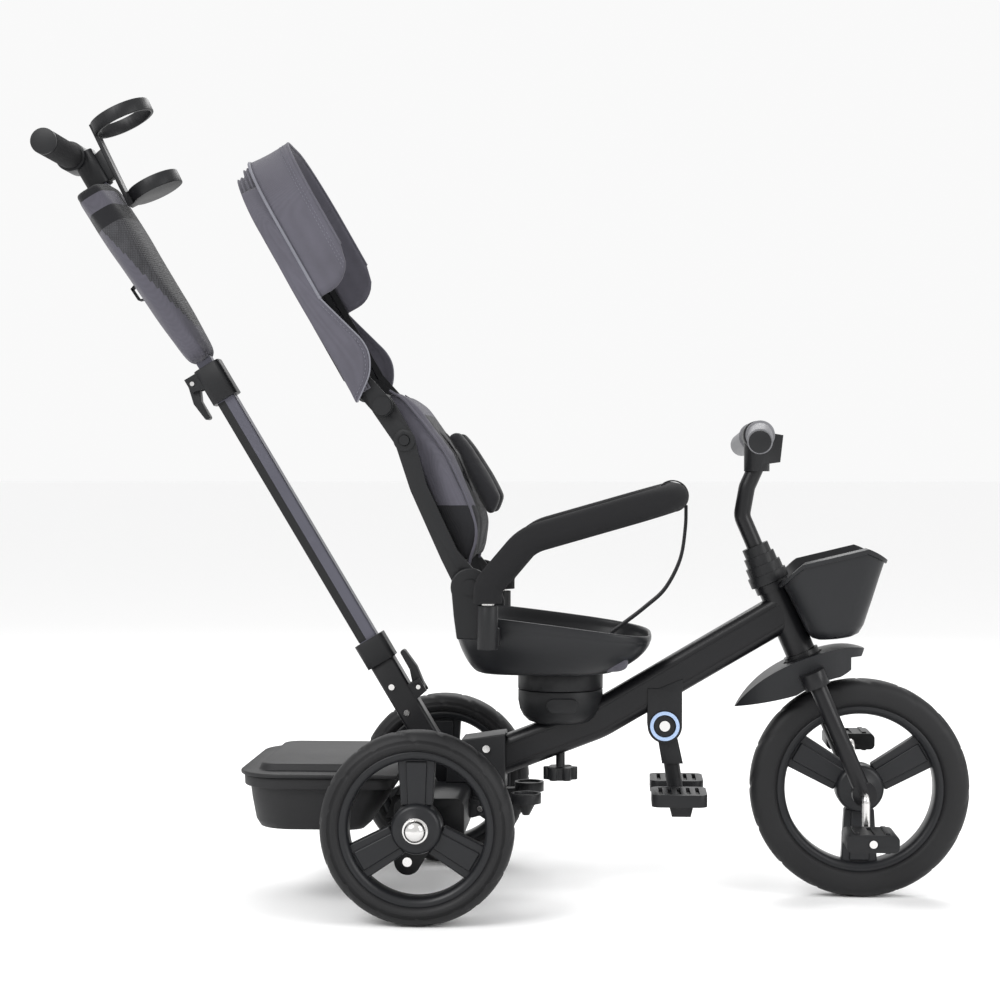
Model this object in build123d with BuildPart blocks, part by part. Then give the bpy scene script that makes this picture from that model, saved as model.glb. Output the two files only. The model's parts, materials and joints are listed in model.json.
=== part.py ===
from build123d import *
import os
from math import atan2, cos, degrees, radians, sin, tan

# Children's push tricycle. Millimetres. +X is the way it rides, +Y is the child's
# left, +Z is up, and the origin is on the floor below the middle of the whole.

os.makedirs("parts", exist_ok=True)

# ---------------------------------------------------------------- driving sizes
FRONT_AXLE_X = 466.0
FRONT_RADIUS = 145.0
FRONT_TYRE_INNER = 110.0
FRONT_RIM_INNER = 103.0
FRONT_TYRE_WIDTH = 50.0
REAR_AXLE_X = -105.0
REAR_RADIUS = 122.0
REAR_TYRE_INNER = 97.0
REAR_RIM_INNER = 82.0
REAR_TYRE_WIDTH = 48.0
REAR_TRACK = 212.0
HUB_RADIUS = 32.0
SPOKE_COUNT = 3
SPOKE_WIDTH = 46.0
SPOKE_THICK = 16.0
RUNNING_GAP = 0.08
SLIDE_GAP = 0.3

REAR_AXLE_RADIUS = 6.0
CRANK_ROD_RADIUS = 5.0
CRANK_LENGTH = 48.0
CRANK_Y = 82.0
PEDAL_LENGTH = 66.0
PEDAL_WIDTH = 66.0
PEDAL_THICK = 22.0

STEER_LEAN = 23.3
HEAD_TUBE_RADIUS = 20.0
HEAD_TUBE_BORE = 15.0
HEAD_TUBE_LOW = 178.0
HEAD_TUBE_HIGH = 297.0
STEERER_RADIUS = 11.0
STEERER_WALL = 3.0
CROWN_LOW = 152.0
CROWN_HIGH = 172.0
FORK_HALF_WIDTH = 60.0
FORK_TUBE_RADIUS = 11.0
STEM_START = 352.0
BAR_X = 330.0
BAR_Z = 614.0
BAR_HALF_WIDTH = 190.0
BAR_DROOP = 11.0
GRIP_RADIUS = 16.0
GRIP_START = 66.0

BEAM_WIDTH = 40.0
BEAM_HEIGHT = 50.0
BEAM_WALL = 3.0
BEAM_REAR = (-46.0, 170.0)
BEAM_BEND = (118.0, 233.0)
BEAM_RISE = 30.6

HOUSING_BACK = -140.0
HOUSING_FRONT = -50.0
HOUSING_LOW = 95.0
HOUSING_HIGH = 150.0
HOUSING_HALF_WIDTH = 160.0

HANDLE_LEAN = 30.8
HANDLE_FOOT = (-77.0, 150.0)
RECEIVER_SIZE = 34.0
LOWER_TUBE_SIZE = 26.0
LOWER_TUBE_WALL = 2.0
RECEIVER_LENGTH = 185.0
LOWER_TUBE_END = 650.0
UPPER_TUBE_END = 985.0
TUBE_OVERLAP = 180.0
HANDLE_HALF_WIDTH = 150.0
HANDLE_GRIP_RADIUS = 17.0

SEAT_X = 68.0
SEAT_BOTTOM = 298.0
SEAT_HALF_WIDTH = 130.0
SEAT_BACK = -74.0
SEAT_FRONT = 191.0
SEAT_WALL = 8.0
SWIVEL_RADIUS = 57.0
SWIVEL_SPLIT = 275.0
SWIVEL_LOW = 228.0
STEM_KNOB_RADIUS = 6.0
PIVOT_X = -45.0
PIVOT_Z = 417.0

SAFETY_Y = 160.0
SAFETY_X = -20.0
SAFETY_FOAM_RADIUS = 18.5
SAFETY_TUBE_RADIUS = 8.0

CANOPY_HUB = (-158.0, 650.0)
CANOPY_LOCK = (-130.0, 606.0)
CANOPY_LEAN = 29.6
CANOPY_HALF_WIDTH = 138.0
CANOPY_TOP = 374.0
CANOPY_CORNER = 105.0
CANOPY_SKIRT = 159.0
FOLD_THICK = 13.0

FOOTREST_X = 207.5
FOOTREST_Z = 227.0

BIN_BACK = -345.0
BIN_FRONT = -140.0
BIN_HALF_WIDTH = 148.0
BIN_LOW = 100.0
BIN_RIM = 172.0
BIN_WALL = 3.0


# ---------------------------------------------------------------- shared helpers
def side_plane(y=0.0):
    """Upright plane across the width at y: local x runs forward, local y runs up."""
    return Plane.XZ.offset(-y)


def wheel_section(axle_x, y, axle_z):
    """Plane through a wheel's axle: local x runs along the axle, local y is the radius."""
    return Plane(origin=(axle_x, y, axle_z), x_dir=(0, 1, 0), z_dir=(1, 0, 0))


def rod(start, end, radius, bore=0.0):
    """Round bar or tube between two points."""
    line = Vector(*end) - Vector(*start)
    with BuildPart(Plane(origin=start, z_dir=line)) as piece:
        Cylinder(radius, line.length, align=(Align.CENTER, Align.CENTER, Align.MIN))
        if bore:
            Cylinder(
                bore,
                line.length,
                align=(Align.CENTER, Align.CENTER, Align.MIN),
                mode=Mode.SUBTRACT,
            )
    return piece.part


def bent_tube(points, bend, radius, bore=0.0):
    """Round tube along straight runs joined by arcs."""
    with BuildPart() as piece:
        with BuildLine() as path:
            FilletPolyline(*points, radius=bend)
        with BuildSketch(Plane(origin=path.line @ 0, z_dir=path.line % 0)):
            Circle(radius)
            if bore:
                Circle(bore, mode=Mode.SUBTRACT)
        sweep()
    return piece.part


def side_slab(points, y_low, y_high, corner=0.0):
    """Flat outline in the side view, given a thickness across the width."""
    with BuildPart() as piece:
        with BuildSketch(side_plane(y_high)) as outline:
            with BuildLine():
                Polyline(*points, close=True)
            make_face()
            if corner:
                fillet(outline.vertices(), corner)
        extrude(amount=y_high - y_low)
    return piece.part


def along_y(x, z, radius, y_low, y_high, bore=0.0):
    """Round boss or washer on an axis across the width."""
    return rod((x, y_low, z), (x, y_high, z), radius, bore)


def group(name, *solids):
    """Separate solids that share one node."""
    node = Compound(children=list(solids))
    node.label = name
    export_step(node, f"parts/{name}.step")


def save(name, piece):
    piece.label = name
    export_step(piece, f"parts/{name}.step")


# ---------------------------------------------------------------- placed frames
STEER_X = (cos(radians(STEER_LEAN)), 0, sin(radians(STEER_LEAN)))
STEER_Z = (-sin(radians(STEER_LEAN)), 0, cos(radians(STEER_LEAN)))


def steer_plane(height):
    """Plane square to the steering axis, at a height above the front axle."""
    origin = (FRONT_AXLE_X + height * STEER_Z[0], 0, FRONT_RADIUS + height * STEER_Z[2])
    return Plane(origin=origin, x_dir=STEER_X, z_dir=STEER_Z)


def steer_point(height, forward=0.0, y=0.0):
    """Point given by height along the steering axis and distance in front of it."""
    return (
        FRONT_AXLE_X + height * STEER_Z[0] + forward * STEER_X[0],
        y,
        FRONT_RADIUS + height * STEER_Z[2] + forward * STEER_X[2],
    )


HANDLE_Z = (-sin(radians(HANDLE_LEAN)), 0, cos(radians(HANDLE_LEAN)))
HANDLE_X = (cos(radians(HANDLE_LEAN)), 0, sin(radians(HANDLE_LEAN)))


def handle_point(distance, forward=0.0, y=0.0):
    """Point given by distance up the push bar and distance in front of it."""
    return (
        HANDLE_FOOT[0] + distance * HANDLE_Z[0] + forward * HANDLE_X[0],
        y,
        HANDLE_FOOT[1] + distance * HANDLE_Z[2] + forward * HANDLE_X[2],
    )


def handle_plane(distance, forward=0.0):
    """Plane square to the push bar."""
    return Plane(origin=handle_point(distance, forward), x_dir=HANDLE_X, z_dir=HANDLE_Z)


CANOPY_UP = (-sin(radians(CANOPY_LEAN)), 0, cos(radians(CANOPY_LEAN)))
CANOPY_OUT = (cos(radians(CANOPY_LEAN)), 0, sin(radians(CANOPY_LEAN)))


def canopy_plane(forward):
    """Plane of one canopy bow: local x runs across the width, local y runs up the bow."""
    origin = (
        CANOPY_HUB[0] + forward * CANOPY_OUT[0],
        0,
        CANOPY_HUB[1] + forward * CANOPY_OUT[2],
    )
    return Plane(origin=origin, x_dir=(0, 1, 0), z_dir=CANOPY_OUT)


# ---------------------------------------------------------------- main beam
def beam_end():
    """Where the beam's centreline meets the steering axis."""
    slope = tan(radians(BEAM_RISE))
    lean = tan(radians(STEER_LEAN))
    top = FRONT_AXLE_X - lean * (BEAM_BEND[1] - slope * BEAM_BEND[0] - FRONT_RADIUS)
    x = top / (1 + lean * slope)
    return (x, BEAM_BEND[1] + slope * (x - BEAM_BEND[0]))


def beam_solid(inset, groove):
    """The beam's sweep, shrunk by inset all round, with grooved flanks when asked."""
    end = beam_end()
    rear = (BEAM_REAR[0], 0, BEAM_REAR[1])
    bend = (BEAM_BEND[0], 0, BEAM_BEND[1])
    with BuildPart() as piece:
        with BuildLine() as path:
            FilletPolyline(rear, bend, (end[0], 0, end[1]), radius=120)
        section = Plane(origin=path.line @ 0, x_dir=(0, 1, 0), z_dir=path.line % 0)
        with BuildSketch(section):
            RectangleRounded(BEAM_WIDTH - 2 * inset, BEAM_HEIGHT - 2 * inset, 13 - inset)
            if groove:
                for side in (-1, 1):
                    for level in (-1, 1):
                        place = (side * BEAM_WIDTH / 2, level * BEAM_HEIGHT * 0.26)
                        with Locations(place):
                            Rectangle(2.4, 2.4, mode=Mode.SUBTRACT)
        sweep()
    return piece.part


beam_outer = beam_solid(0, False)
head_tube_envelope = rod(steer_point(0), steer_point(STEM_START), HEAD_TUBE_RADIUS)

with BuildPart() as main_beam:
    add(beam_solid(0, True))
    add(beam_solid(BEAM_WALL, False), mode=Mode.SUBTRACT)
    add(head_tube_envelope, mode=Mode.SUBTRACT)
    front_cap = side_slab(
        [
            (beam_end()[0], beam_end()[1] - 60),
            (beam_end()[0] + 60, beam_end()[1] - 60),
            (beam_end()[0] + 60, beam_end()[1] + 60),
            (beam_end()[0], beam_end()[1] + 60),
        ],
        -BEAM_WIDTH,
        BEAM_WIDTH,
    )
    add(front_cap, mode=Mode.SUBTRACT)
    knob_way = rod((SEAT_X, 0, 150), (SEAT_X, 0, 262), STEM_KNOB_RADIUS + 0.5)
    add(knob_way, mode=Mode.SUBTRACT)
save("main_beam", main_beam.part.solids().sort_by(SortBy.VOLUME)[-1])

with BuildPart(steer_plane(HEAD_TUBE_LOW)) as head_tube:
    head_length = HEAD_TUBE_HIGH - HEAD_TUBE_LOW
    Cylinder(HEAD_TUBE_RADIUS, head_length, align=(Align.CENTER, Align.CENTER, Align.MIN))
    Cylinder(24, 18, align=(Align.CENTER, Align.CENTER, Align.MIN))
    with Locations((0, 0, head_length - 10)):
        Cylinder(23, 10, align=(Align.CENTER, Align.CENTER, Align.MIN))
    Cylinder(
        HEAD_TUBE_BORE,
        head_length,
        align=(Align.CENTER, Align.CENTER, Align.MIN),
        mode=Mode.SUBTRACT,
    )

BUSH_LENGTH = 14.0
group(
    "head_tube",
    head_tube.part,
    rod(
        steer_point(HEAD_TUBE_LOW),
        steer_point(HEAD_TUBE_LOW + BUSH_LENGTH),
        HEAD_TUBE_BORE,
        STEERER_RADIUS + RUNNING_GAP,
    ),
    rod(
        steer_point(HEAD_TUBE_HIGH - BUSH_LENGTH),
        steer_point(HEAD_TUBE_HIGH),
        HEAD_TUBE_BORE,
        STEERER_RADIUS + RUNNING_GAP,
    ),
)

# ---------------------------------------------------------------- rear end
receiver_envelope = Box(
    RECEIVER_SIZE, RECEIVER_SIZE, 4 * RECEIVER_LENGTH, mode=Mode.PRIVATE
).moved(handle_plane(0).location)

with BuildPart() as axle_housing:
    with BuildSketch(side_plane()):
        with Locations(((HOUSING_BACK + HOUSING_FRONT) / 2, (HOUSING_LOW + HOUSING_HIGH) / 2)):
            RectangleRounded(HOUSING_FRONT - HOUSING_BACK, HOUSING_HIGH - HOUSING_LOW, 12)
    extrude(amount=HOUSING_HALF_WIDTH, both=True)
    axle_bore = along_y(
        REAR_AXLE_X, REAR_RADIUS, REAR_AXLE_RADIUS, -HOUSING_HALF_WIDTH, HOUSING_HALF_WIDTH
    )
    add(axle_bore, mode=Mode.SUBTRACT)
save("axle_housing", axle_housing.part)

YOKE_FRONT = -5.0
with BuildPart() as yoke_sleeve:
    with BuildSketch(side_plane()) as yoke_side:
        with BuildLine():
            Polyline(
                (HOUSING_FRONT, HOUSING_LOW + 8),
                (YOKE_FRONT, 138),
                (YOKE_FRONT, 216),
                (-62, 208),
                (-82, 180),
                (-84, HOUSING_HIGH),
                (HOUSING_FRONT, HOUSING_HIGH),
                close=True,
            )
        make_face()
    extrude(amount=BEAM_WIDTH / 2 + 10, both=True)
    add(beam_outer, mode=Mode.SUBTRACT)
    add(receiver_envelope, mode=Mode.SUBTRACT)
save("yoke_sleeve", yoke_sleeve.part.solids().sort_by(SortBy.VOLUME)[-1])

AXLE_HALF = REAR_TRACK + REAR_TYRE_WIDTH / 2 + 12
with BuildPart() as rear_axle:
    add(
        along_y(REAR_AXLE_X, REAR_RADIUS, REAR_AXLE_RADIUS, -AXLE_HALF, AXLE_HALF)
    )


def axle_nut(side):
    """Domed nut and its washer on one end of the rear axle."""
    section = wheel_section(REAR_AXLE_X, 0, REAR_RADIUS)
    start = AXLE_HALF - 10
    with BuildPart() as nut:
        with BuildSketch(section):
            with BuildLine():
                Polyline(
                    (side * start, 0),
                    (side * start, 16),
                    (side * (start + 2.5), 16),
                    (side * (start + 2.5), 13.5),
                    (side * (start + 8), 13.5),
                    (side * (start + 12), 11.5),
                    (side * (start + 15), 7),
                    (side * (start + 16), 2),
                    (side * (start + 16), 0),
                    close=True,
                )
            make_face()
        revolve(axis=Axis((REAR_AXLE_X, 0, REAR_RADIUS), (0, 1, 0)))
        add(rear_axle.part, mode=Mode.SUBTRACT)
    return nut.part


group("rear_axle", rear_axle.part, axle_nut(1), axle_nut(-1))


def brake_plate(side):
    """Plate with a rounded foot that carries the brake latch beside one wheel."""
    with BuildPart() as plate:
        with BuildSketch(side_plane(0)):
            with Locations((-122, 70)):
                Circle(17)
            with Locations((-135, 112), (-92, 112)):
                Circle(13)
            make_hull()
        extrude(amount=3, both=True)
        add(along_y(REAR_AXLE_X, REAR_RADIUS, REAR_AXLE_RADIUS, -4, 4), mode=Mode.SUBTRACT)
    return plate.part.moved(Location((0, side * (HOUSING_HALF_WIDTH + 3), 0)))



with BuildPart() as bin_bracket:
    with BuildSketch(side_plane(60)):
        with BuildLine():
            Polyline(
                (HOUSING_BACK, 108),
                (HOUSING_BACK, 138),
                (HOUSING_BACK - 10, 138),
                (HOUSING_BACK - 22, 108),
                close=True,
            )
        make_face()
    extrude(amount=120)

# ---------------------------------------------------------------- storage bin
BIN_FRONT_LOW = BIN_FRONT - 28


def bin_body(inset, floor, top):
    """The bin's outline between two levels, shrunk by inset."""
    with BuildPart() as piece:
        with BuildSketch(Plane.XY.offset(floor)) as plan:
            with BuildLine():
                Polyline(
                    (BIN_FRONT - inset, BIN_HALF_WIDTH - inset),
                    (BIN_FRONT - inset, inset - BIN_HALF_WIDTH),
                    (BIN_BACK + inset, inset - BIN_HALF_WIDTH),
                    (BIN_BACK + inset, BIN_HALF_WIDTH - inset),
                    close=True,
                )
            make_face()
            fillet(plan.vertices().group_by(Axis.X)[0], 60 - inset)
        extrude(amount=top - floor)
    return piece.part


def bin_front_wedge(inset):
    """What the sloping front wall of the bin leaves out."""
    slope = (BIN_FRONT - BIN_FRONT_LOW) / (BIN_RIM - 10 - BIN_LOW)
    low = BIN_LOW - 20
    return side_slab(
        [
            (BIN_FRONT_LOW - inset + slope * (low - BIN_LOW), low),
            (BIN_FRONT + 40, low),
            (BIN_FRONT + 40, BIN_RIM - 10),
            (BIN_FRONT - inset, BIN_RIM - 10),
        ],
        -BIN_HALF_WIDTH - 5,
        BIN_HALF_WIDTH + 5,
    )


with BuildPart() as bin_cavity:
    add(bin_body(BIN_WALL, BIN_LOW + BIN_WALL, BIN_RIM + 5))
    add(bin_front_wedge(BIN_WALL), mode=Mode.SUBTRACT)

with BuildPart() as storage_bin:
    add(bin_body(0, BIN_LOW, BIN_RIM))
    add(bin_front_wedge(0), mode=Mode.SUBTRACT)
    add(bin_cavity.part, mode=Mode.SUBTRACT)
    add(bin_bracket.part, mode=Mode.SUBTRACT)
save("storage_bin", storage_bin.part.solids().sort_by(SortBy.VOLUME)[-1])

LID_LOW = BIN_RIM + SLIDE_GAP
LID_THICK = 5.0
with BuildPart() as bin_lid:
    add(bin_body(-3, LID_LOW, LID_LOW + LID_THICK))
    with BuildSketch(Plane.XY.offset(LID_LOW + LID_THICK)):
        with Locations(((BIN_BACK + BIN_FRONT) / 2 - 4, 0)):
            RectangleRounded(BIN_FRONT - BIN_BACK - 50, 2 * BIN_HALF_WIDTH - 60, 26)
    extrude(amount=9, taper=20)
save("bin_lid", bin_lid.part)

# ---------------------------------------------------------------- brake pedals
BRAKE_PIVOT = (-36.0, 122.0)
BRAKE_PEDAL_X = 24.0
BRAKE_PEDAL_Y = 52.0


def brake_pedal(side):
    """Round rimmed foot pad on its arm."""
    with BuildPart() as pedal:
        with BuildSketch(Plane.XY.offset(128)):
            with Locations((BRAKE_PEDAL_X, side * BRAKE_PEDAL_Y)):
                Circle(20)
        extrude(amount=10)
        with BuildSketch(Plane.XY.offset(138)):
            with Locations((BRAKE_PEDAL_X, side * BRAKE_PEDAL_Y)):
                Circle(20)
                Circle(16, mode=Mode.SUBTRACT)
        extrude(amount=3)
        with BuildSketch(Plane.XY.offset(128)):
            with Locations((BRAKE_PEDAL_X, side * BRAKE_PEDAL_Y)):
                Circle(13)
        extrude(amount=-16, taper=28)
        arm = side_slab(
            [
                (BRAKE_PIVOT[0], 113),
                (BRAKE_PEDAL_X, 121),
                (BRAKE_PEDAL_X, 133),
                (BRAKE_PIVOT[0], 131),
            ],
            side * BRAKE_PEDAL_Y - 8,
            side * BRAKE_PEDAL_Y + 8,
        )
        add(arm)
        boss = along_y(
            *BRAKE_PIVOT, 9, side * BRAKE_PEDAL_Y - 8, side * BRAKE_PEDAL_Y + 8
        )
        add(boss)
        pin_hole = along_y(
            *BRAKE_PIVOT, 4 + RUNNING_GAP, side * BRAKE_PEDAL_Y - 9, side * BRAKE_PEDAL_Y + 9
        )
        add(pin_hole, mode=Mode.SUBTRACT)
    return pedal.part


save("brake_pedal_left", brake_pedal(1))
save("brake_pedal_right", brake_pedal(-1))


def brake_lug(y):
    """Ear on the front of the axle housing that holds the brake pedal's pin."""
    with BuildPart() as lug:
        with BuildSketch(side_plane(y + 3)):
            with Locations(BRAKE_PIVOT):
                Circle(9)
            with Locations((HOUSING_FRONT + 2, BRAKE_PIVOT[1])):
                Rectangle(4, 24)
            make_hull()
        extrude(amount=6)
        add(axle_housing.part, mode=Mode.SUBTRACT)
        add(along_y(*BRAKE_PIVOT, 4, y - 4, y + 4), mode=Mode.SUBTRACT)
    return lug.part


BRAKE_EARS = [side * BRAKE_PEDAL_Y + step for side in (-1, 1) for step in (-11.5, 11.5)]
brake_lugs = [brake_lug(y) for y in BRAKE_EARS]
brake_pins = [
    along_y(*BRAKE_PIVOT, 4, side * BRAKE_PEDAL_Y - 16, side * BRAKE_PEDAL_Y + 16)
    for side in (-1, 1)
]


# ---------------------------------------------------------------- wheels
def tyre(axle_x, radius, inner, width, y):
    """Ring tyre with rounded shoulders and a shallow groove round its middle."""
    section = wheel_section(axle_x, y, radius)
    with BuildPart() as ring:
        with BuildSketch(section):
            with Locations((0, (radius + inner) / 2)):
                RectangleRounded(width, radius - inner, 11)
            with Locations((0, (radius + inner) / 2 - 6)):
                Rectangle(width, radius - inner - 12)
            for side in (-1, 1):
                with Locations((side * width / 5, radius)):
                    Rectangle(3, 5, mode=Mode.SUBTRACT)
        revolve(axis=Axis((axle_x, y, radius), (0, 1, 0)))
    return ring.part


def rim(axle_x, radius, ring_outer, ring_inner, width, y, bore, first_spoke):
    """Moulded wheel centre: outer ring, three broad spokes and a stepped hub."""
    section = wheel_section(axle_x, y, radius)
    axle = Axis((axle_x, y, radius), (0, 1, 0))
    face = Plane.XZ.offset(-y)
    with BuildPart() as wheel:
        with BuildSketch(section):
            with Locations((0, (ring_outer + ring_inner) / 2)):
                Rectangle(width - 6, ring_outer - ring_inner)
            with Locations((0, HUB_RADIUS / 2)):
                Rectangle(width - 14, HUB_RADIUS)
            with Locations((0, HUB_RADIUS / 3)):
                Rectangle(width - 2, HUB_RADIUS * 2 / 3)
        revolve(axis=axle)
        with BuildSketch(face) as spokes:
            for turn in range(SPOKE_COUNT):
                angle = radians(first_spoke + 360 / SPOKE_COUNT * turn)
                middle = (HUB_RADIUS + ring_outer) / 2 - 5
                place = (axle_x + middle * cos(angle), radius + middle * sin(angle))
                with Locations(Location(place, degrees(angle))):
                    Rectangle(ring_outer - HUB_RADIUS, SPOKE_WIDTH)
        extrude(amount=SPOKE_THICK / 2, both=True)
        with BuildSketch(face):
            for turn in range(SPOKE_COUNT):
                angle = radians(first_spoke + 360 / SPOKE_COUNT * turn)
                middle = (HUB_RADIUS + ring_inner) / 2
                place = (axle_x + middle * cos(angle), radius + middle * sin(angle))
                with Locations(Location(place, degrees(angle))):
                    Rectangle(ring_inner - HUB_RADIUS - 8, SPOKE_WIDTH - 18)
        extrude(amount=SPOKE_THICK / 2 + 3, both=True)
        hole = along_y(axle_x, radius, bore, y - width, y + width)
        add(hole, mode=Mode.SUBTRACT)
    return wheel.part


save("front_tyre", tyre(FRONT_AXLE_X, FRONT_RADIUS, FRONT_TYRE_INNER, FRONT_TYRE_WIDTH, 0))
front_rim = rim(
    FRONT_AXLE_X,
    FRONT_RADIUS,
    FRONT_TYRE_INNER,
    FRONT_RIM_INNER,
    FRONT_TYRE_WIDTH,
    0,
    CRANK_ROD_RADIUS,
    -90,
)
save("front_rim", front_rim)
for side, word in ((1, "left"), (-1, "right")):
    rear_tyre = tyre(
        REAR_AXLE_X, REAR_RADIUS, REAR_TYRE_INNER, REAR_TYRE_WIDTH, side * REAR_TRACK
    )
    save(f"rear_tyre_{word}", rear_tyre)
    rear_rim = rim(
        REAR_AXLE_X,
        REAR_RADIUS,
        REAR_TYRE_INNER,
        REAR_RIM_INNER,
        REAR_TYRE_WIDTH,
        side * REAR_TRACK,
        REAR_AXLE_RADIUS + RUNNING_GAP,
        90,
    )
    save(f"rear_rim_{word}", rear_rim)

# ---------------------------------------------------------------- cranks and pedals
PEDAL_END = CRANK_Y + 14 + PEDAL_WIDTH
near_z = FRONT_RADIUS - CRANK_LENGTH
far_z = FRONT_RADIUS + CRANK_LENGTH
crank_rod = bent_tube(
    [
        (FRONT_AXLE_X, -PEDAL_END, near_z),
        (FRONT_AXLE_X, -CRANK_Y, near_z),
        (FRONT_AXLE_X, -CRANK_Y, FRONT_RADIUS),
        (FRONT_AXLE_X, CRANK_Y, FRONT_RADIUS),
        (FRONT_AXLE_X, CRANK_Y, far_z),
        (FRONT_AXLE_X, PEDAL_END, far_z),
    ],
    9,
    CRANK_ROD_RADIUS,
)
save("crank_rod", crank_rod)


def pedal(side, axle_z):
    """Block pedal that turns on the end of its crank."""
    middle = side * (CRANK_Y + 12 + PEDAL_WIDTH / 2)
    with BuildPart() as block:
        with BuildSketch(side_plane(middle)):
            with Locations((FRONT_AXLE_X, axle_z)):
                RectangleRounded(PEDAL_LENGTH, PEDAL_THICK, 7)
        extrude(amount=PEDAL_WIDTH / 2, both=True)
        for face in (-1, 1):
            for step in (-1, 0, 1):
                with BuildSketch(Plane.XY.offset(axle_z + face * (PEDAL_THICK / 2 - 3))):
                    with Locations((FRONT_AXLE_X + step * 19, middle)):
                        Rectangle(6, PEDAL_WIDTH - 12)
                extrude(amount=face * 5, mode=Mode.ADD if step else Mode.SUBTRACT)
        hole = along_y(
            FRONT_AXLE_X,
            axle_z,
            CRANK_ROD_RADIUS + RUNNING_GAP,
            middle - PEDAL_WIDTH,
            middle + PEDAL_WIDTH,
        )
        add(hole, mode=Mode.SUBTRACT)
    return block.part


save("pedal_right", pedal(-1, near_z))
save("pedal_left", pedal(1, far_z))

# ---------------------------------------------------------------- fork and steering
FORK_END_RADIUS = 16.0


def fork_leg(side):
    y = side * FORK_HALF_WIDTH
    with BuildPart() as leg:
        add(rod(steer_point(0, 0, y), steer_point(CROWN_LOW, 0, y), FORK_TUBE_RADIUS))
        add(along_y(FRONT_AXLE_X, FRONT_RADIUS, FORK_END_RADIUS, y - 9, y + 9))
        axle_hole = along_y(
            FRONT_AXLE_X, FRONT_RADIUS, CRANK_ROD_RADIUS + RUNNING_GAP, y - 12, y + 12
        )
        add(axle_hole, mode=Mode.SUBTRACT)
    return leg.part



with BuildPart() as fork_crown:
    crown_height = CROWN_HIGH - CROWN_LOW
    with BuildSketch(steer_plane(CROWN_LOW)):
        SlotOverall(2 * FORK_HALF_WIDTH + 34, 34, rotation=90)
    extrude(amount=crown_height)
group("front_fork", fork_crown.part, fork_leg(1), fork_leg(-1))

steerer = rod(
    steer_point(CROWN_HIGH),
    steer_point(STEM_START),
    STEERER_RADIUS,
    STEERER_RADIUS - STEERER_WALL,
)

COLLAR_LOW = HEAD_TUBE_HIGH + 1
COLLAR_STEPS = (26.5, 24.0, 21.0, 18.0)
COLLAR_STEP_HEIGHT = (STEM_START - 2 - COLLAR_LOW) / len(COLLAR_STEPS)
with BuildPart(steer_plane(COLLAR_LOW)) as collar_cover:
    for index, radius in enumerate(COLLAR_STEPS):
        with Locations((0, 0, index * COLLAR_STEP_HEIGHT)):
            Cylinder(
                radius, COLLAR_STEP_HEIGHT, align=(Align.CENTER, Align.CENTER, Align.MIN)
            )
    Cylinder(
        STEERER_RADIUS,
        STEM_START,
        align=(Align.CENTER, Align.CENTER, Align.MIN),
        mode=Mode.SUBTRACT,
    )

stem_foot = steer_point(STEM_START)
stem = bent_tube(
    [
        stem_foot,
        steer_point(STEM_START + 42),
        (317, 0, 545),
        (BAR_X, 0, 574),
        (BAR_X, 0, BAR_Z - 12),
    ],
    22,
    STEERER_RADIUS,
    STEERER_RADIUS - STEERER_WALL,
)

HANDLEBAR_RADIUS = 10.0


def bar_point(y):
    """Centreline of the handlebar, which droops towards its ends."""
    share = max(0.0, abs(y) - GRIP_START) / (BAR_HALF_WIDTH - GRIP_START)
    return (BAR_X - 9 * share, y, BAR_Z - BAR_DROOP * share)


handlebar = bent_tube(
    [
        bar_point(-BAR_HALF_WIDTH + 4),
        bar_point(-GRIP_START),
        bar_point(GRIP_START),
        bar_point(BAR_HALF_WIDTH - 4),
    ],
    60,
    HANDLEBAR_RADIUS,
)
with BuildPart() as stem_clamp:
    add(along_y(BAR_X, BAR_Z, 19, -22, 22))
    add(side_slab(
        [(BAR_X, BAR_Z - 40), (BAR_X + 30, BAR_Z - 36), (BAR_X + 34, BAR_Z), (BAR_X, BAR_Z + 6)],
        -16,
        16,
    ))
    add(rod((BAR_X, 0, BAR_Z - 48), (BAR_X, 0, BAR_Z - 6), 17))
    add(handlebar, mode=Mode.SUBTRACT)
    add(stem, mode=Mode.SUBTRACT)
    screw_hole = rod((BAR_X + 10, 0, BAR_Z - 26), (BAR_X + 50, 0, BAR_Z - 26), 3)
    add(screw_hole, mode=Mode.SUBTRACT)
clamp_block = stem_clamp.part.solids().sort_by(SortBy.VOLUME)[-1]
group("handlebar", handlebar, stem, steerer)


def grip(side):
    """Soft grip with a flange at its inner end."""
    start = bar_point(side * (GRIP_START + 6))
    stop = bar_point(side * (BAR_HALF_WIDTH - 4))
    flange = bar_point(side * (GRIP_START + 10))
    with BuildPart() as sleeve:
        add(rod(start, stop, GRIP_RADIUS))
        add(rod(start, flange, 19))
        add(handlebar, mode=Mode.SUBTRACT)
    return sleeve.part


group("grips", grip(1), grip(-1))


def grip_cap(side):
    """Rounded cap that closes the end of a grip."""
    inner = bar_point(side * (BAR_HALF_WIDTH - 4))
    outer = bar_point(side * (BAR_HALF_WIDTH + 3))
    return rod(inner, outer, 14)


group("steering_covers", collar_cover.part, clamp_block, grip_cap(1), grip_cap(-1))

# ---------------------------------------------------------------- front basket
BASKET_HALF_WIDTH = 72.0
BASKET_WALL = 3.0


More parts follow.
